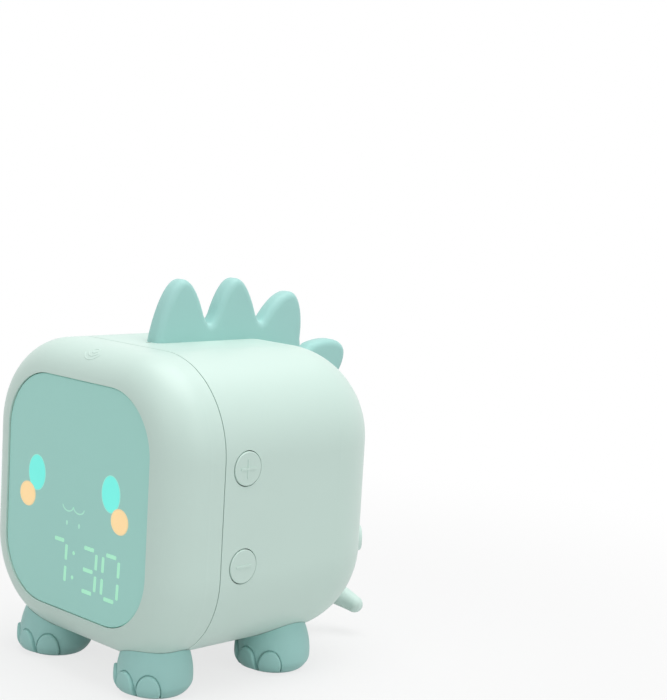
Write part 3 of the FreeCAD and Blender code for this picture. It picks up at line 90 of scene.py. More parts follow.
@dataclass(frozen=True)
class Finish:
    """A moulded, plated or printed finish with grain, faint mottling and a soft gloss."""

    COAT_ROUGHNESS: ClassVar[float] = 0.12
    SHEEN_ROUGHNESS: ClassVar[float] = 0.4
    CLOUD_SCALE: ClassVar[float] = 45.0
    LANE_SCALE: ClassVar[float] = 260.0
    LANE_EDGES: ClassVar[Point] = (0.035, 0.06)
    GRAIN_DEPTH: ClassVar[float] = 0.00008
    GLOSS_SPREAD: ClassVar[float] = 0.05

    name: str
    colour: Colour
    surface: Surface = Surface.PAINTED
    roughness: float = 0.45
    grain: float = 0.12
    mottle: float = 0.02
    metallic: float = 0.0
    coat: float = 0.0
    sheen: float = 0.0
    glow: float = 0.0
    traces: Colour | None = None

    def build(self) -> bpy.types.Material:
        """Make the material, or return it where it is already made."""
        title = f"{self.name}_finish"
        made = bpy.data.materials.get(title)
        if made:
            return made
        material = bpy.data.materials.new(title)
        material.use_nodes = True
        tree = material.node_tree
        shader = tree.nodes["Principled BSDF"]
        shader.inputs["Metallic"].default_value = self.metallic
        shader.inputs["Coat Weight"].default_value = self.coat
        shader.inputs["Coat Roughness"].default_value = self.COAT_ROUGHNESS
        shader.inputs["Sheen Weight"].default_value = self.sheen
        shader.inputs["Sheen Roughness"].default_value = self.SHEEN_ROUGHNESS
        place = tree.nodes.new("ShaderNodeTexCoord").outputs["Object"]
        tint = self.add_tint(tree, place)
        if self.traces:
            tint = self.add_traces(tree, place, tint)
        tree.links.new(tint, shader.inputs["Base Color"])
        self.add_grain(tree, place, shader)
        if self.glow:
            tree.links.new(tint, shader.inputs["Emission Color"])
            shader.inputs["Emission Strength"].default_value = self.glow
        return material

    def add_tint(self, tree: bpy.types.NodeTree, place: bpy.types.NodeSocket) -> bpy.types.NodeSocket:
        """Mottle the colour faintly, as moulded plastic is.

        Args:
            tree: The material's node tree.
            place: The socket that gives a point's place.

        Returns:
            The socket that gives the colour.
        """
        clouds = tree.nodes.new("ShaderNodeTexNoise")
        clouds.inputs["Scale"].default_value = self.CLOUD_SCALE
        clouds.inputs["Detail"].default_value = 3.0
        tree.links.new(place, clouds.inputs["Vector"])
        tint = tree.nodes.new("ShaderNodeMix")
        tint.data_type = "RGBA"
        tint.inputs["A"].default_value = linear(tuple(c * (1 - self.mottle) for c in self.colour))
        tint.inputs["B"].default_value = linear(tuple(min(1.0, c * (1 + self.mottle)) for c in self.colour))
        tree.links.new(clouds.outputs["Fac"], tint.inputs["Factor"])
        return tint.outputs["Result"]

    def add_traces(
        self, tree: bpy.types.NodeTree, place: bpy.types.NodeSocket, under: bpy.types.NodeSocket,
    ) -> bpy.types.NodeSocket:
        """Lay a circuit board's conductors over its colour.

        Args:
            tree: The material's node tree.
            place: The socket that gives a point's place.
            under: The socket that gives the board's own colour.

        Returns:
            The socket that gives the colour with the conductors.
        """
        lanes = tree.nodes.new("ShaderNodeTexVoronoi")
        lanes.feature = "DISTANCE_TO_EDGE"
        lanes.distance = "EUCLIDEAN"
        lanes.inputs["Scale"].default_value = self.LANE_SCALE
        tree.links.new(place, lanes.inputs["Vector"])
        narrow = tree.nodes.new("ShaderNodeMapRange")
        narrow.inputs["From Min"].default_value, narrow.inputs["From Max"].default_value = self.LANE_EDGES
        narrow.inputs["To Min"].default_value = 1.0
        narrow.inputs["To Max"].default_value = 0.0
        tree.links.new(lanes.outputs["Distance"], narrow.inputs["Value"])
        mixer = tree.nodes.new("ShaderNodeMix")
        mixer.data_type = "RGBA"
        mixer.inputs["B"].default_value = linear(self.traces)
        tree.links.new(narrow.outputs["Result"], mixer.inputs["Factor"])
        tree.links.new(under, mixer.inputs["A"])
        return mixer.outputs["Result"]

    def add_grain(
        self, tree: bpy.types.NodeTree, place: bpy.types.NodeSocket, shader: bpy.types.Node,
    ) -> None:
        """Give the surface its fine grain and a gloss that varies with it.

        Args:
            tree: The material's node tree.
            place: The socket that gives a point's place.
            shader: The material's main shader.
        """
        grain = tree.nodes.new("ShaderNodeTexNoise")
        grain.inputs["Scale"].default_value = 1 / self.surface.value
        grain.inputs["Detail"].default_value = 4.0
        tree.links.new(place, grain.inputs["Vector"])
        bump = tree.nodes.new("ShaderNodeBump")
        bump.inputs["Strength"].default_value = self.grain
        bump.inputs["Distance"].default_value = self.GRAIN_DEPTH
        tree.links.new(grain.outputs["Fac"], bump.inputs["Height"])
        tree.links.new(bump.outputs["Normal"], shader.inputs["Normal"])
        rough = tree.nodes.new("ShaderNodeMapRange")
        rough.inputs["To Min"].default_value = self.roughness - self.GLOSS_SPREAD
        rough.inputs["To Max"].default_value = self.roughness + self.GLOSS_SPREAD
        tree.links.new(grain.outputs["Fac"], rough.inputs["Value"])
        tree.links.new(rough.outputs["Result"], shader.inputs["Roughness"])


MINT_SHELL = Finish("mint_shell", (0.80, 0.89, 0.855), Surface.PAINTED, 0.42, 0.10, 0.006, sheen=0.15)
TEAL_SILICONE = Finish("teal_silicone", (0.645, 0.835, 0.815), Surface.SILICONE, 0.55, 0.16, 0.01, sheen=0.25)
MINT_SILICONE = Finish("mint_silicone", (0.83, 0.92, 0.89), Surface.SILICONE, 0.55, 0.16, 0.01, sheen=0.25)
SCREEN = Finish("screen_tint", (0.675, 0.895, 0.855), Surface.GLOSSY, 0.4, 0.03, 0.006)
WHITE_PLASTIC = Finish("white_plastic", (0.90, 0.91, 0.90), Surface.PAINTED, 0.5, 0.15, 0.01)
BLACK_PLASTIC = Finish("black_plastic", (0.10, 0.10, 0.11), Surface.PAINTED, 0.5, 0.2, 0.05)
CIRCUIT_BOARD = Finish("circuit_board", (0.08, 0.34, 0.20), Surface.BOARD, 0.3, 0.3, 0.08, coat=0.3,
                       traces=(0.16, 0.46, 0.28))
LAMP_RESIN = Finish("lamp_resin", (0.95, 0.93, 0.75), Surface.GLOSSY, 0.3, 0.05, 0.02)
CELL_SLEEVE = Finish("cell_sleeve", (0.20, 0.42, 0.72), Surface.GLOSSY, 0.25, 0.05, 0.03, coat=0.3)
PLATED_STEEL = Finish("plated_steel", (0.80, 0.80, 0.82), Surface.METAL, 0.3, 0.1, 0.02, metallic=1.0)
SPEAKER_PAPER = Finish("speaker_paper", (0.12, 0.12, 0.12), Surface.SILICONE, 0.8, 0.6, 0.1)
COPPER_FOIL = Finish("copper_foil", (0.86, 0.60, 0.42), Surface.METAL, 0.3, 0.2, 0.03, metallic=1.0)

SLOT_FINISH = {finish.name: finish for finish in (
    MINT_SHELL, TEAL_SILICONE, MINT_SILICONE, SCREEN, WHITE_PLASTIC, BLACK_PLASTIC, CIRCUIT_BOARD, LAMP_RESIN,
    CELL_SLEEVE, PLATED_STEEL, SPEAKER_PAPER, COPPER_FOIL)}

AQUA_LIGHT = Finish("aqua_light", (0.44, 0.90, 0.85), Surface.GLOSSY, 0.5, 0.02, 0.02, glow=0.4)
AQUA_RIM = Finish("aqua_rim", (0.62, 0.93, 0.87), Surface.GLOSSY, 0.5, 0.02, 0.02, glow=0.2)
PEACH_LIGHT = Finish("peach_light", (0.94, 0.81, 0.60), Surface.GLOSSY, 0.5, 0.02, 0.02, glow=0.42)
PEACH_RIM = Finish("peach_rim", (0.93, 0.86, 0.68), Surface.GLOSSY, 0.5, 0.02, 0.02, glow=0.2)
GREEN_LIGHT = Finish("green_light", (0.66, 0.915, 0.785), Surface.GLOSSY, 0.5, 0.02, 0.02, glow=0.3)
PALE_LIGHT = Finish("pale_light", (0.70, 0.92, 0.84), Surface.GLOSSY, 0.5, 0.02, 0.02, glow=0.2)
SHADE_GREY = Finish("shade_grey", (0.42, 0.50, 0.48), Surface.PAINTED, 0.7, 0.1, 0.02)


def dress_nodes() -> None:
    """Give every CAD node the finish of its material slot."""
    slots = {part["node"]: part["material_slot"] for part in frame["record"]["subparts"]}
    for name, piece in frame["nodes"].items():
        piece.data.materials.clear()
        piece.data.materials.append(SLOT_FINISH[slots[name]].build())
        LOG.info("node %s finished as %s", name, slots[name])


@dataclass(frozen=True)
class Pane:
    """A flat frame of reference on the clock: millimetres to the right, up and outwards."""

    origin: Vector
    right: Vector
    up: Vector

    @property
    def out(self) -> Vector:
        """Direction that leads away from the clock."""
        return self.right.cross(self.up)

    def at(self, across: float, along: float, height: float = 0.0) -> Vector:
        """Place of a point in metres, given its three distances in millimetres."""
        return self.origin + (self.right * across + self.up * along + self.out * height) * MM


class Draw:
    """Outlines of the small raised and printed shapes, in millimetres."""

    @staticmethod
    def oval(centre: Point, half: Point, points: int = 56) -> Outline:
        """Oval about a centre."""
        turns = (2 * math.pi * step / points for step in range(points))
        return [Draw.on_oval(centre, half, turn) for turn in turns]

    @staticmethod
    def on_oval(centre: Point, half: Point, turn: float) -> Point:
        """Point of an oval at a turn in radians."""
        return centre[0] + half[0] * math.cos(turn), centre[1] + half[1] * math.sin(turn)

    @staticmethod
    def bar(start: Point, end: Point, width: float, round_share: float = 0.6) -> Outline:
        """Straight stroke with rounded corners.

        Args:
            start: One end of the stroke.
            end: The other end.
            width: Width of the stroke.
            round_share: Corner radius as a share of half the width.

        Returns:
            The stroke's outline.
        """
        length = math.dist(start, end)
        ux, uy = (end[0] - start[0]) / length, (end[1] - start[1]) / length
        corner = width / 2 * round_share
        outline = []
        for quarter, (along, across) in enumerate(((length, 1), (0.0, 1), (0.0, -1), (length, -1))):
            inset = corner if along == 0.0 else -corner
            for step in range(CORNER_STEPS + 1):
                turn = math.radians(90 * (quarter + step / CORNER_STEPS))
                a = along + inset + corner * math.cos(turn)
                c = across * (width / 2 - corner) + corner * math.sin(turn)
                outline.append((start[0] + ux * a - uy * c, start[1] + uy * a + ux * c))
        return outline

    @staticmethod
    def band(
        centre: Point, half: Point, start_deg: float, end_deg: float, width: float, steps: int = 20,
    ) -> Outline:
        """Part of an oval ring, with ends cut square.

        Args:
            centre: Centre of the oval.
            half: The oval's two half sizes, to the middle of the stroke.
            start_deg: Turn at which the stroke starts.
            end_deg: Turn at which it ends.
            width: Width of the stroke.
            steps: Number of pieces along the stroke.

        Returns:
            The stroke's outline.
        """
        turns = [math.radians(start_deg + (end_deg - start_deg) * step / steps) for step in range(steps + 1)]
        grown = (half[0] + width / 2, half[1] + width / 2)
        shrunk = (half[0] - width / 2, half[1] - width / 2)
        outer = [Draw.on_oval(centre, grown, turn) for turn in turns]
        inner = [Draw.on_oval(centre, shrunk, turn) for turn in reversed(turns)]
        return outer + inner


def add_piece(name: str, work: bmesh.types.BMesh, body: str, finish: Finish) -> bpy.types.Object:
    """Turn a finished bmesh into a piece that rides on a body.

    Args:
        name: Name of the piece.
        work: The geometry, in metres and in place; it is freed.
        body: CAD body that the piece moves with.
        finish: How it looks.

    Returns:
        The new object.
    """
    bmesh.ops.recalc_face_normals(work, faces=work.faces)
    mesh = bpy.data.meshes.new(name)
    work.to_mesh(mesh)
    work.free()
    mesh.materials.append(finish.build())
    piece = bpy.data.objects.new(name, mesh)
    bpy.context.scene.collection.objects.link(piece)
    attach(piece, body)
    LOG.info("piece %s rides on %s with %d faces", name, body, len(mesh.polygons))
    return piece


def raised(
    pane: Pane, outlines: list[Outline], proud: float, sunk: float = 0.05, soft: float = 0.0,
) -> bmesh.types.BMesh:
    """Extrude outlines into low plates on a flat face.

    Args:
        pane: The face that they stand on.
        outlines: Their outlines on the pane, in millimetres.
        proud: Height over the face.
        sunk: Depth below the face, which closes the joint.
        soft: Rounding of the upper edges.

    Returns:
        The plates in one bmesh.
    """
    work = bmesh.new()
    for outline in outlines:
        base = work.faces.new([work.verts.new(pane.at(across, along, -sunk)) for across, along in outline])
        grown = bmesh.ops.extrude_face_region(work, geom=[base])["geom"]
        top = [item for item in grown if isinstance(item, bmesh.types.BMVert)]
        bmesh.ops.translate(work, verts=top, vec=pane.out * ((proud + sunk) * MM))
        if soft:
            rims = {edge for vert in top for edge in vert.link_edges if edge.other_vert(vert) in top}
            bmesh.ops.bevel(work, geom=list(rims), offset=soft * MM, affect="EDGES", segments=2,
                            profile=0.5, material=-1)
    return work


@dataclass
class Display:
    """The lit face and the time, printed just proud of the display window; sizes in millimetres."""

    face_shift: float = -1.2
    eye_x: float = 18.85
    eye_z: float = 4.5
    eye_half: Point = (4.55, 5.8)
    cheek_x: float = 23.5
    cheek_z: float = -3.1
    cheek_half: Point = (4.2, 4.0)
    rim: float = 0.3
    mouth_x: float = -0.55
    mouth_z: float = -2.7
    mouth_half: Point = (2.75, 1.95)
    mouth_stroke: float = 0.42
    mouth_turns_deg: Point = (-172, -8)
    dot_half: Point = (0.5, 0.75)
    dot_x: float = 3.1
    dot_z: float = -8.4
    digit_z: float = -21.2
    digit_half: Point = (3.8, 6.85)
    digit_stroke: float = 1.2
    digit_gap: float = 1.0
    bar_trim: float = 0.4
    lean_deg: float = 2.6
    colon_x: float = 0.15
    colon_z: float = 3.9
    colon_radius: float = 0.6
    plate_height: float = 0.02
    pane: Pane = field(init=False)

    DIGIT_X: ClassVar[dict[str, float]] = {"hours": -7.45, "tens": 7.75, "units": 18.7}
    LIT_BARS: ClassVar[dict[str, str]] = {"hours": "abc", "tens": "abcdg", "units": "abcdef"}

    def build(self) -> None:
        """Make every lit shape of the window."""
        low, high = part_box("display_lens")
        middle = Vector((0.0, low.y, (low.z + high.z) / 2))
        self.pane = Pane(middle, Vector((1, 0, 0)), Vector((0, 0, 1)))
        self.build_face()
        self.build_time()

    def lit(self, name: str, outlines: list[Outline], layer: int, finish: Finish) -> None:
        """Add one lit shape, a layer higher than what it overlaps."""
        work = raised(self.pane, outlines, self.plate_height * layer)
        add_piece(name, work, "clock", finish)

    def build_face(self) -> None:
        """Make the eyes, the cheeks in front of them, the mouth and the two dots below it."""
        for side, word in ((-1, "left"), (1, "right")):
            eye = (self.face_shift + side * self.eye_x, self.eye_z)
            cheek = (self.face_shift + side * self.cheek_x, self.cheek_z)
            self.lit(f"eye_{word}_rim", [Draw.oval(eye, self.eye_half)], 1, AQUA_RIM)
            self.lit(f"eye_{word}", [Draw.oval(eye, self.within(self.eye_half))], 2, AQUA_LIGHT)
            self.lit(f"cheek_{word}_rim", [Draw.oval(cheek, self.cheek_half)], 3, PEACH_RIM)
            self.lit(f"cheek_{word}", [Draw.oval(cheek, self.within(self.cheek_half))], 4, PEACH_LIGHT)
        halves = [Draw.band((self.mouth_x + side * self.mouth_half[0], self.mouth_z), self.mouth_half,
                            *self.mouth_turns_deg, self.mouth_stroke) for side in (-1, 1)]
        self.lit("mouth", halves, 1, PALE_LIGHT)
        dots = [Draw.oval((self.mouth_x + side * self.dot_x, self.dot_z), self.dot_half, 24)
                for side in (-1, 1)]
        self.lit("mouth_dots", dots, 1, PALE_LIGHT)

    def within(self, half: Point) -> Point:
        """Half sizes of an oval inside its rim."""
        return half[0] - self.rim, half[1] - self.rim

    def leaned(self, centre_x: float, x: float, z: float) -> Point:
        """Point of a leaning digit on the pane."""
        return centre_x + x + z * math.tan(math.radians(self.lean_deg)), self.digit_z + z

    def bars(self) -> dict[str, tuple[Point, Point]]:
        """End points of the seven bars of a digit about its centre, by their usual letters."""
        w, h = self.digit_half
        g = self.digit_gap
        end = w - g - self.bar_trim
        return {
            "a": ((-end, h), (end, h)),
            "b": ((w, h - g), (w, g)),
            "c": ((w, -g), (w, g - h)),
            "d": ((-end, -h), (end, -h)),
            "e": ((-w, -g), (-w, g - h)),
            "f": ((-w, h - g), (-w, g)),
            "g": ((-end, 0.0), (end, 0.0)),
        }

    def build_time(self) -> None:
        """Make the digits of half past seven and the colon."""
        bars = self.bars()
        for place, centre_x in self.DIGIT_X.items():
            strokes = []
            for letter in self.LIT_BARS[place]:
                start, end = (self.leaned(centre_x, *point) for point in bars[letter])
                strokes.append(Draw.bar(start, end, self.digit_stroke))
            self.lit(f"digit_{place}", strokes, 1, GREEN_LIGHT)
        half = (self.colon_radius, self.colon_radius)
        points = [Draw.oval(self.leaned(self.colon_x, 0.0, side * self.colon_z), half, 20)
                  for side in (-1, 1)]
        self.lit("colon", points, 1, GREEN_LIGHT)


@dataclass
class ButtonSigns:
    """Raised signs on the four side buttons, in each button's own colour.

    The first six sizes are in millimetres, and the rest are shares of the reach.
    """

    reach: float = 3.0
    stroke: float = 0.7
    proud: float = 0.2
    soft: float = 0.05
    hand_gap: float = 0.05
    hand_end: float = 0.2
    long_hand: float = 0.6
    short_hand: float = 0.5
    dome_half: Point = (0.62, 0.8)
    dome_rise: float = 0.1
    skirt: Point = (0.85, -0.55)
    clapper_half: Point = (0.22, 0.16)
    clapper_rise: float = -0.85
    dome_steps: int = 16
    ring_turns_deg: Point = (90, 449.9)

    def build(self) -> None:
        """Make the four signs."""
        marks = {"plus": self.plus(), "minus": self.minus(), "mode": self.dial(), "alarm": self.bell()}
        for key, outlines in marks.items():
            low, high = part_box(f"{key}_button")
            side = 1 if low.x > 0 else -1
            face_x = high.x if side > 0 else low.x
            middle = Vector((face_x, (low.y + high.y) / 2, (low.z + high.z) / 2))
            pane = Pane(middle, Vector((0, side, 0)), Vector((0, 0, 1)))
            work = raised(pane, outlines, self.proud, soft=self.soft)
            add_piece(f"{key}_sign", work, f"{key}_key", MINT_SHELL)

    def plus(self) -> list[Outline]:
        """Plus sign, as one outline."""
        r, s = self.reach, self.stroke / 2
        return [[(r, -s), (r, s), (s, s), (s, r), (-s, r), (-s, s), (-r, s), (-r, -s), (-s, -s), (-s, -r),
                 (s, -r), (s, -s)]]

    def minus(self) -> list[Outline]:
        """Minus sign."""
        return [Draw.bar((-self.reach, 0.0), (self.reach, 0.0), self.stroke)]

    def dial(self) -> list[Outline]:
        """Clock face with two hands; its ring is open by a hair, so that its outline is one loop."""
        ring = Draw.band((0.0, 0.0), (self.reach, self.reach), *self.ring_turns_deg, self.stroke, 48)
        half = self.stroke / 2
        upright = Draw.bar((0.0, -half), (0.0, self.reach * self.long_hand), self.stroke)
        level = Draw.bar((half + self.hand_gap, 0.0), (self.reach * self.short_hand + self.hand_end, 0.0),
                         self.stroke)
        return [ring, upright, level]

    def bell(self) -> list[Outline]:
        """Small bell: a dome with its skirt, and the clapper below."""
        r = self.reach
        turns = (math.pi * step / self.dome_steps for step in range(self.dome_steps + 1))
        half = (r * self.dome_half[0], r * self.dome_half[1])
        dome = [Draw.on_oval((0.0, r * self.dome_rise), half, turn) for turn in turns]
        skirt = [(-r * self.skirt[0], r * self.skirt[1]), (r * self.skirt[0], r * self.skirt[1])]
        clapper_half = (r * self.clapper_half[0], r * self.clapper_half[1])
        return [dome + skirt, Draw.oval((0.0, r * self.clapper_rise), clapper_half, 20)]


@dataclass
class Relief:
    """Fine ridges that follow the curved shell; sizes in millimetres."""

    width: float = 0.5
    proud: float = 0.12
    sunk: float = 0.15
    lift: float = 12.0
    end_taper: float = 0.35
    arch_steps: int = 6

    def ridge(self, pane: Pane, course: Outline, surface: BVHTree) -> bmesh.types.BMesh:
        """Sweep a low round ridge along a course that is dropped onto a surface.

        Args:
            pane: Frame that the course is drawn on; the course is dropped against its outward direction.
            course: The course's points, in millimetres.
            surface: The surface that it lands on.

        Returns:
            A closed ridge with capped ends.
        """
        landed = []
        for across, along in course:
            place, normal, _, _ = surface.ray_cast(pane.at(across, along, self.lift), -pane.out)
            if place is not None:
                landed.append((place, normal))
        work = bmesh.new()
        rings = []
        for index, (place, normal) in enumerate(landed):
            before = landed[max(index - 1, 0)][0]
            after = landed[min(index + 1, len(landed) - 1)][0]
            side = (after - before).normalized().cross(normal)
            height = self.proud * (self.end_taper if index in (0, len(landed) - 1) else 1.0)
            ring = []
            for turn in (math.pi * step / self.arch_steps for step in range(self.arch_steps + 1)):
                offset = side * (self.width / 2 * math.cos(turn)) + normal * (height * math.sin(turn))
                ring.append(work.verts.new(place + offset * MM))
            for across in (-1, 1):
                offset = side * (across * self.width / 2) - normal * self.sunk
                ring.append(work.verts.new(place + offset * MM))
            rings.append(ring)
        for first, second in zip(rings, rings[1:]):
            for step in range(len(first)):
                nearby = (step + 1) % len(first)
                work.faces.new((first[step], first[nearby], second[nearby], second[step]))
        work.faces.new(rings[0])
        work.faces.new(list(reversed(rings[-1])))
        return work


def surface_of(node: str) -> BVHTree:
    """Make the search tree of a CAD node's surface.

    Args:
        node: Name of the node.

    Returns:
        The tree, in metres.
    """
    mesh = frame["nodes"][node].data
    faces = [tuple(face.vertices) for face in mesh.polygons]
    return BVHTree.FromPolygons([vert.co for vert in mesh.vertices], faces)


@dataclass
class TouchMark:
    """Small ring and two arcs in low relief that show where to touch for the night light."""

    rounding: float = 13.1
    tilt_deg: float = 30.0
    halves: tuple[Point, ...] = ((1.2, 1.0), (2.6, 2.4), (4.0, 3.8))
    arc_start_deg: float = 200.0
    arc_turn_deg: float = 140.0
    steps: int = 32

    def build(self) -> None:
        """Drop a ring and two arcs below it onto the rounding over the display."""
        low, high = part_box("front_housing")
        lean, rise = math.sin(math.radians(self.tilt_deg)), math.cos(math.radians(self.tilt_deg))
        behind, below = self.rounding * (1 - lean) * MM, self.rounding * (1 - rise) * MM
        origin = Vector((0.0, low.y + behind, high.z - below))
        pane = Pane(origin, Vector((1, 0, 0)), Vector((0, rise, lean)))
        surface = surface_of("front_housing")
        for index, half in enumerate(self.halves):
            start, whole = (self.arc_start_deg, self.arc_turn_deg) if index else (0.0, 360.0)
            turns = (math.radians(start + whole * step / self.steps) for step in range(self.steps + 1))
            course = [Draw.on_oval((0.0, 0.0), half, turn) for turn in turns]
            work = Relief().ridge(pane, course, surface)
            add_piece(f"touch_mark_{index + 1}", work, "clock", MINT_SHELL)


@dataclass
class CoverGrip:
    """Three short ridges on the free end of the port cover, for a fingernail."""

    from_end: float = 3.0
    pitch: float = 1.3
    half_length: float = 2.2
    width: float = 0.6
    proud: float = 0.22
    ridges: int = 3
    half_steps: int = 8

    def build(self) -> None:
        """Drop the ridges onto the soft cover."""
        low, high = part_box("port_cover")
        origin = Vector((high.x - self.from_end * MM, high.y, (low.z + high.z) / 2))
        pane = Pane(origin, Vector((-1, 0, 0)), Vector((0, 0, 1)))
        surface = surface_of("port_cover")
        for index in range(self.ridges):
            steps = range(-self.half_steps, self.half_steps + 1)
            course = [(index * self.pitch, self.half_length * step / self.half_steps) for step in steps]
            work = Relief(width=self.width, proud=self.proud).ridge(pane, course, surface)
            add_piece(f"cover_grip_{index + 1}", work, "port_flap", MINT_SILICONE)


@dataclass(frozen=True)
class Spike:
    """One soft point of the crest, in millimetres behind and above the shell's rear top corner."""

    base: Point
    lean_deg: float
    length: float
    half_width: float
    power: float
    ease: float
    steps: int = 18

    def side(self, front: int) -> Outline:
        """Walk up one side of the spike.

        Args:
            front: -1 for the side that faces forwards, 1 for the one that faces backwards.

        Returns:
            Points from the base to the tip.
        """
        lean = math.radians(self.lean_deg)
        points = []
        for step in range(self.steps + 1):
            share = math.sin(math.pi / 2 * step / self.steps)
            across = front * self.half_width * (1 - share ** self.power) ** self.ease
            along = self.length * share
            points.append((self.base[0] + across * math.cos(lean) + along * math.sin(lean),
                           self.base[1] - across * math.sin(lean) + along * math.cos(lean)))
        return points


@dataclass
class DorsalCrest:
    """The moulded crest: four soft spikes in one piece, with the tabs that hold it in the shell.

    Sizes are in millimetres. Places are behind and above the shell's rear top corner; a tab's third
    number is its lean towards the rear, in degrees.
    """

    thickness: float = 6.8
    rounding: float = 2.4
    rounding_steps: int = 6
    face_border: float = 0.3
    shell_rounding: float = 27.0
    shell_steps: int = 24
    sunk: float = 1.1
    rear_root: float = 2.4
    valley_reach: float = 4.0
    valley_steps: int = 9
    tab_size: tuple[float, float, float] = (3.0, 10.0, 6.0)
    barb_size: tuple[float, float, float] = (5.0, 12.0, 1.5)
    shell_wall: float = 2.3
    spikes: tuple[Spike, ...] = (
        Spike((-55.15, 0.0), 0.0, 19.8, 11.0, 1.2, 0.52),
        Spike((-32.69, 0.0), 0.0, 19.88, 11.0, 1.2, 0.52),
        Spike((-15.05, -7.0), 20.0, 23.3, 10.8, 1.9, 0.55),
        Spike((-4.15, -17.4), 61.5, 26.2, 10.8, 2.0, 0.515),
    )
    valleys: tuple[Point, ...] = ((-43.95, 4.4), (-21.75, 4.4), (-1.65, -6.3))
    tab_feet: tuple[tuple[float, float, float], ...] = (
        (-54.4, 0.0, 0.0), (-32.6, 0.0, 0.0), (-3.27, -14.12, 61.5))
    pane: Pane = field(init=False)

    def build(self) -> None:
        """Make the crest in place of the plain solid."""
        _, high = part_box("rear_housing")
        self.pane = Pane(Vector((0.0, high.y, high.z)), Vector((0, 1, 0)), Vector((0, 0, 1)))
        work = self.slab()
        for foot in self.tab_feet:
            self.add_tab(work, *foot)
        crest = add_piece("crest_of_spikes", work, "clock", TEAL_SILICONE)
        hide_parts("dorsal_crest")

    def top_line(self) -> Outline:
        """Outline of the four spikes, with a smooth valley between each two."""
        line = [self.front_end()] + self.spikes[0].side(-1)
        for index, valley in enumerate(self.valleys):
            down = list(reversed(self.spikes[index].side(1)))[1:]
            up = self.spikes[index + 1].side(-1)
            while math.dist(down[-1], valley) < self.valley_reach or down[-1][1] < valley[1]:
                down.pop()
            while math.dist(up[0], valley) < self.valley_reach or up[0][1] < valley[1]:
                up.pop(0)
            start, middle, end = (Vector((*point, 0.0)) for point in (down[-1], valley, up[0]))
            bend = geometry.interpolate_bezier(start, middle, middle, end, self.valley_steps)
            line += down + [(point.x, point.y) for point in bend[1:-1]] + up
        rear = list(reversed(self.spikes[-1].side(1)))[1:]
        lean = math.radians(self.spikes[-1].lean_deg)
        across, along = rear[-1]
        root = (across - self.rear_root * math.sin(lean), along - self.rear_root * math.cos(lean))
        return line + rear + [root]

    def front_end(self) -> Point:
        """Lowest point of the crest's front edge, inside the shell."""
        return self.spikes[0].side(-1)[0][0], -self.sunk

    def foot_line(self) -> Outline:
        """Line just inside the shell's surface, from the rear up to where its top is flat."""
        centre = (-self.shell_rounding, -self.shell_rounding)
        radius = self.shell_rounding - self.sunk
        turns = (math.pi / 2 * step / self.shell_steps for step in range(self.shell_steps + 1))
        return [Draw.on_oval(centre, (radius, radius), turn) for turn in turns]

    def slab(self) -> bmesh.types.BMesh:
        """Thicken the outline and round both of its rims above the shell."""
        top, foot = self.top_line(), self.foot_line()
        work = bmesh.new()
        left = [work.verts.new(self.pane.at(*point, -self.thickness / 2)) for point in top + foot]
        base = work.faces.new(left)
        grown = bmesh.ops.extrude_face_region(work, geom=[base], use_keep_orig=True)["geom"]
        right = {item for item in grown if isinstance(item, bmesh.types.BMVert)}
        bmesh.ops.translate(work, verts=list(right), vec=self.pane.out * (self.thickness * MM))
        bmesh.ops.bevel(work, geom=self.rims(work, left[:len(top)], right), offset=self.rounding * MM,
                        affect="EDGES", segments=self.rounding_steps, profile=0.5, material=-1,
                        clamp_overlap=False)
        two_sides = sorted(work.faces, key=lambda face: face.calc_area())[-2:]
        for flat in two_sides:
            bmesh.ops.inset_region(work, faces=[flat], thickness=self.face_border * MM, use_even_offset=False)
        for face in work.faces:
            face.smooth = True
        return work

    @staticmethod
    def rims(
        work: bmesh.types.BMesh, left: list[bmesh.types.BMVert], right: set[bmesh.types.BMVert],
    ) -> list[bmesh.types.BMEdge]:
        """Find the edges along the spikes on both sides of the slab.

        Args:
            work: The crest.
            left: Corners of its left side along the spikes, in order.
            right: All the corners of its right side.

        Returns:
            The edges of the left side, each followed by the one across the slab from it.
        """
        across = [next(edge.other_vert(vert) for edge in vert.link_edges if edge.other_vert(vert) in right)
                  for vert in left]
        edges = []
        for step in range(len(left) - 1):
            edges.append(work.edges.get((left[step], left[step + 1])))
            edges.append(work.edges.get((across[step], across[step + 1])))
        return edges

    def add_tab(self, work: bmesh.types.BMesh, across: float, along: float, lean_deg: float) -> None:
        """Add one tab with its barb, under the shell.

        Args:
            work: The crest.
            across: Distance of the tab behind the shell's rear top corner.
            along: Its height over that corner.
            lean_deg: Turn of the tab from upright, towards the rear.
        """
        turn = Matrix.Rotation(-math.radians(lean_deg), 4, "X")
        place = Matrix.Translation(self.pane.at(across, along)) @ turn
        lowest = -self.shell_wall - self.barb_size[2]
        for size in (self.tab_size, self.barb_size):
            middle = Matrix.Translation((0.0, 0.0, (lowest + size[2] / 2) * MM))
            scale = Matrix.Diagonal((*(length * MM for length in size), 1.0))
            bmesh.ops.create_cube(work, size=1.0, matrix=place @ middle @ scale)


@dataclass
class CrestSlotShade:
    """Painted shade: a flat dark plate on the shell where the end of the slot shows in shadow, just in front
    of the crest.
    """

    length: float = 1.3
    width: float = 0.7
    under_crest: float = 0.6
    plate_height: float = 0.01

    def build(self) -> None:
        """Lay the painted shade of the slot's end on the top of the shell."""
        crest_low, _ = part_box("dorsal_crest")
        _, shell_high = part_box("rear_housing")
        pane = Pane(Vector((0.0, crest_low.y, shell_high.z)), Vector((1, 0, 0)), Vector((0, 1, 0)))
        outline = Draw.bar((0.0, -self.length), (0.0, self.under_crest), self.width, 1.0)
        work = raised(pane, [outline], self.plate_height)
        # painted shade: a dark grey plate stands in for the shadow inside the slot's opening
        add_piece("crest_slot_painted_shade", work, "clock", SHADE_GREY)


@dataclass(frozen=True)
class Lamp:
    """A soft square lamp: its place and side in metres, and its power in watts."""

    name: str
    place: tuple[float, float, float]
    side: float
    power: float


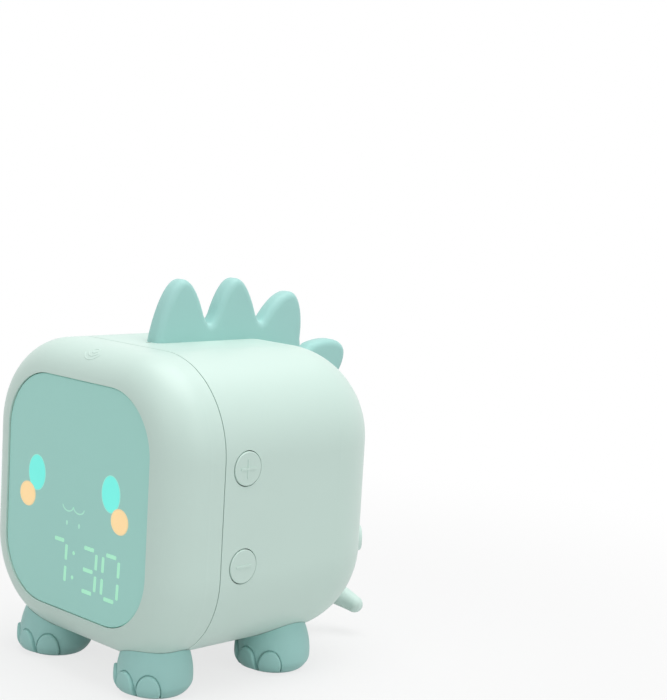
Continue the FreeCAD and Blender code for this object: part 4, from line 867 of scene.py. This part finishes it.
@dataclass
class Studio:
    """Floor, lights, world and the camera of the photograph."""

    azimuth_deg: float = 45.7975
    elevation_deg: float = 8.5358
    roll_deg: float = 3.1377
    place: tuple[float, float, float] = (0.393478, -0.352325, 0.165055)
    lens_mm: float = 83.6806
    sensor_mm: float = 36.0
    shift: Point = (0.07188, 0.06668)
    floor_size: float = 12.0
    shaded_floor: float = 0.12
    white_floor: float = 0.35
    floor_whiteness: float = 0.75
    floor_albedo: float = 0.70
    world_strength: float = 0.42
    lamp_aim: tuple[float, float, float] = (0.0, 0.0, 0.06)
    lamps: tuple[Lamp, ...] = (
        Lamp("top_lamp", (0.1, 0.2, 1.6), 1.4, 20.0),
        Lamp("key_lamp", (0.4, -1.2, 1.1), 1.0, 3.0),
        Lamp("side_lamp", (1.5, 0.1, 0.8), 1.0, 3.5),
    )

    def build(self) -> None:
        """Make the whole studio."""
        self.add_camera()
        self.add_floor()
        self.add_world()
        for lamp in self.lamps:
            self.add_lamp(lamp)
        bpy.context.scene.view_settings.view_transform = "Standard"

    def add_camera(self) -> None:
        """Set the camera where the photograph was taken from."""
        azimuth, elevation = math.radians(self.azimuth_deg), math.radians(self.elevation_deg)
        back = Vector((math.sin(azimuth) * math.cos(elevation), -math.cos(azimuth) * math.cos(elevation),
                       math.sin(elevation)))
        right = Vector((math.cos(azimuth), math.sin(azimuth), 0.0))
        up = back.cross(right)
        roll = Matrix.Rotation(math.radians(self.roll_deg), 4, "Z")
        turn = Matrix((right, up, back)).transposed().to_4x4() @ roll
        data = bpy.data.cameras.new("photo_camera")
        data.lens, data.sensor_width = self.lens_mm, self.sensor_mm
        data.shift_x, data.shift_y = self.shift
        data.clip_start, data.clip_end = 0.01, 50.0
        camera = bpy.data.objects.new("photo_camera", data)
        camera.matrix_world = Matrix.Translation(self.place) @ turn
        bpy.context.scene.collection.objects.link(camera)
        bpy.context.scene.camera = camera

    def add_floor(self) -> None:
        """Lay the plain floor, which is shaded near the clock and runs out to white."""
        mesh = bpy.data.meshes.new("floor")
        work = bmesh.new()
        bmesh.ops.create_grid(work, x_segments=1, y_segments=1, size=self.floor_size)
        work.to_mesh(mesh)
        work.free()
        floor = bpy.data.objects.new("floor", mesh)
        bpy.context.scene.collection.objects.link(floor)
        material = bpy.data.materials.new("floor_white")
        material.use_nodes = True
        nodes, links = material.node_tree.nodes, material.node_tree.links
        shader = nodes["Principled BSDF"]
        shader.inputs["Base Color"].default_value = (*(self.floor_albedo,) * 3, 1.0)
        shader.inputs["Roughness"].default_value = 0.9
        shader.inputs["Specular IOR Level"].default_value = 0.1
        white = nodes.new("ShaderNodeEmission")
        place = nodes.new("ShaderNodeTexCoord")
        reach = nodes.new("ShaderNodeVectorMath")
        reach.operation = "LENGTH"
        links.new(place.outputs["Object"], reach.inputs[0])
        fade = nodes.new("ShaderNodeMapRange")
        fade.interpolation_type = "SMOOTHSTEP"
        fade.inputs["From Min"].default_value = self.shaded_floor
        fade.inputs["From Max"].default_value = self.white_floor
        fade.inputs["To Min"].default_value = self.floor_whiteness
        links.new(reach.outputs["Value"], fade.inputs["Value"])
        seen = nodes.new("ShaderNodeMath")
        seen.operation = "MULTIPLY"
        links.new(fade.outputs["Result"], seen.inputs[0])
        links.new(self.add_seen_rays(material.node_tree), seen.inputs[1])
        mixer = nodes.new("ShaderNodeMixShader")
        links.new(seen.outputs["Value"], mixer.inputs["Fac"])
        links.new(shader.outputs["BSDF"], mixer.inputs[1])
        links.new(white.outputs["Emission"], mixer.inputs[2])
        links.new(mixer.outputs["Shader"], nodes["Material Output"].inputs["Surface"])
        mesh.materials.append(material)

    @staticmethod
    def add_seen_rays(tree: bpy.types.NodeTree) -> bpy.types.NodeSocket:
        """Add the test for a ray that shows a surface, straight, mirrored or through glass.

        Args:
            tree: The node tree that asks.

        Returns:
            The socket that gives 1 for such a ray and 0 for one that only carries soft light.
        """
        path = tree.nodes.new("ShaderNodeLightPath")
        shown = path.outputs["Is Camera Ray"]
        for kind in ("Is Glossy Ray", "Is Transmission Ray"):
            either = tree.nodes.new("ShaderNodeMath")
            either.operation = "MAXIMUM"
            tree.links.new(shown, either.inputs[0])
            tree.links.new(path.outputs[kind], either.inputs[1])
            shown = either.outputs["Value"]
        return shown

    def add_world(self) -> None:
        """Light the scene evenly, with a white background for the camera and in reflections."""
        world = bpy.data.worlds.new("studio_world")
        bpy.context.scene.world = world
        world.use_nodes = True
        nodes, links = world.node_tree.nodes, world.node_tree.links
        soft = nodes["Background"]
        soft.inputs["Color"].default_value = WHITE
        soft.inputs["Strength"].default_value = self.world_strength
        white = nodes.new("ShaderNodeBackground")
        white.inputs["Color"].default_value = WHITE
        white.inputs["Strength"].default_value = 1.0
        mixer = nodes.new("ShaderNodeMixShader")
        links.new(self.add_seen_rays(world.node_tree), mixer.inputs["Fac"])
        links.new(soft.outputs["Background"], mixer.inputs[1])
        links.new(white.outputs["Background"], mixer.inputs[2])
        links.new(mixer.outputs["Shader"], nodes["World Output"].inputs["Surface"])

    def add_lamp(self, lamp: Lamp) -> None:
        """Hang one lamp so that it faces the clock.

        Args:
            lamp: The lamp to hang.
        """
        data = bpy.data.lights.new(lamp.name, "AREA")
        data.energy, data.size = lamp.power, lamp.side
        piece = bpy.data.objects.new(lamp.name, data)
        aim = Vector(self.lamp_aim) - Vector(lamp.place)
        turn = aim.to_track_quat("-Z", "Y").to_matrix().to_4x4()
        piece.matrix_world = Matrix.Translation(lamp.place) @ turn
        bpy.context.scene.collection.objects.link(piece)


def main() -> None:
    """Build the studio and dress the clock."""
    logging.basicConfig(level=logging.INFO)
    Studio().build()
    dress_nodes()
    for assembly in (Display(), ButtonSigns(), TouchMark(), CoverGrip(), DorsalCrest(), CrestSlotShade()):
        assembly.build()


if __name__ == "__main__":
    main()
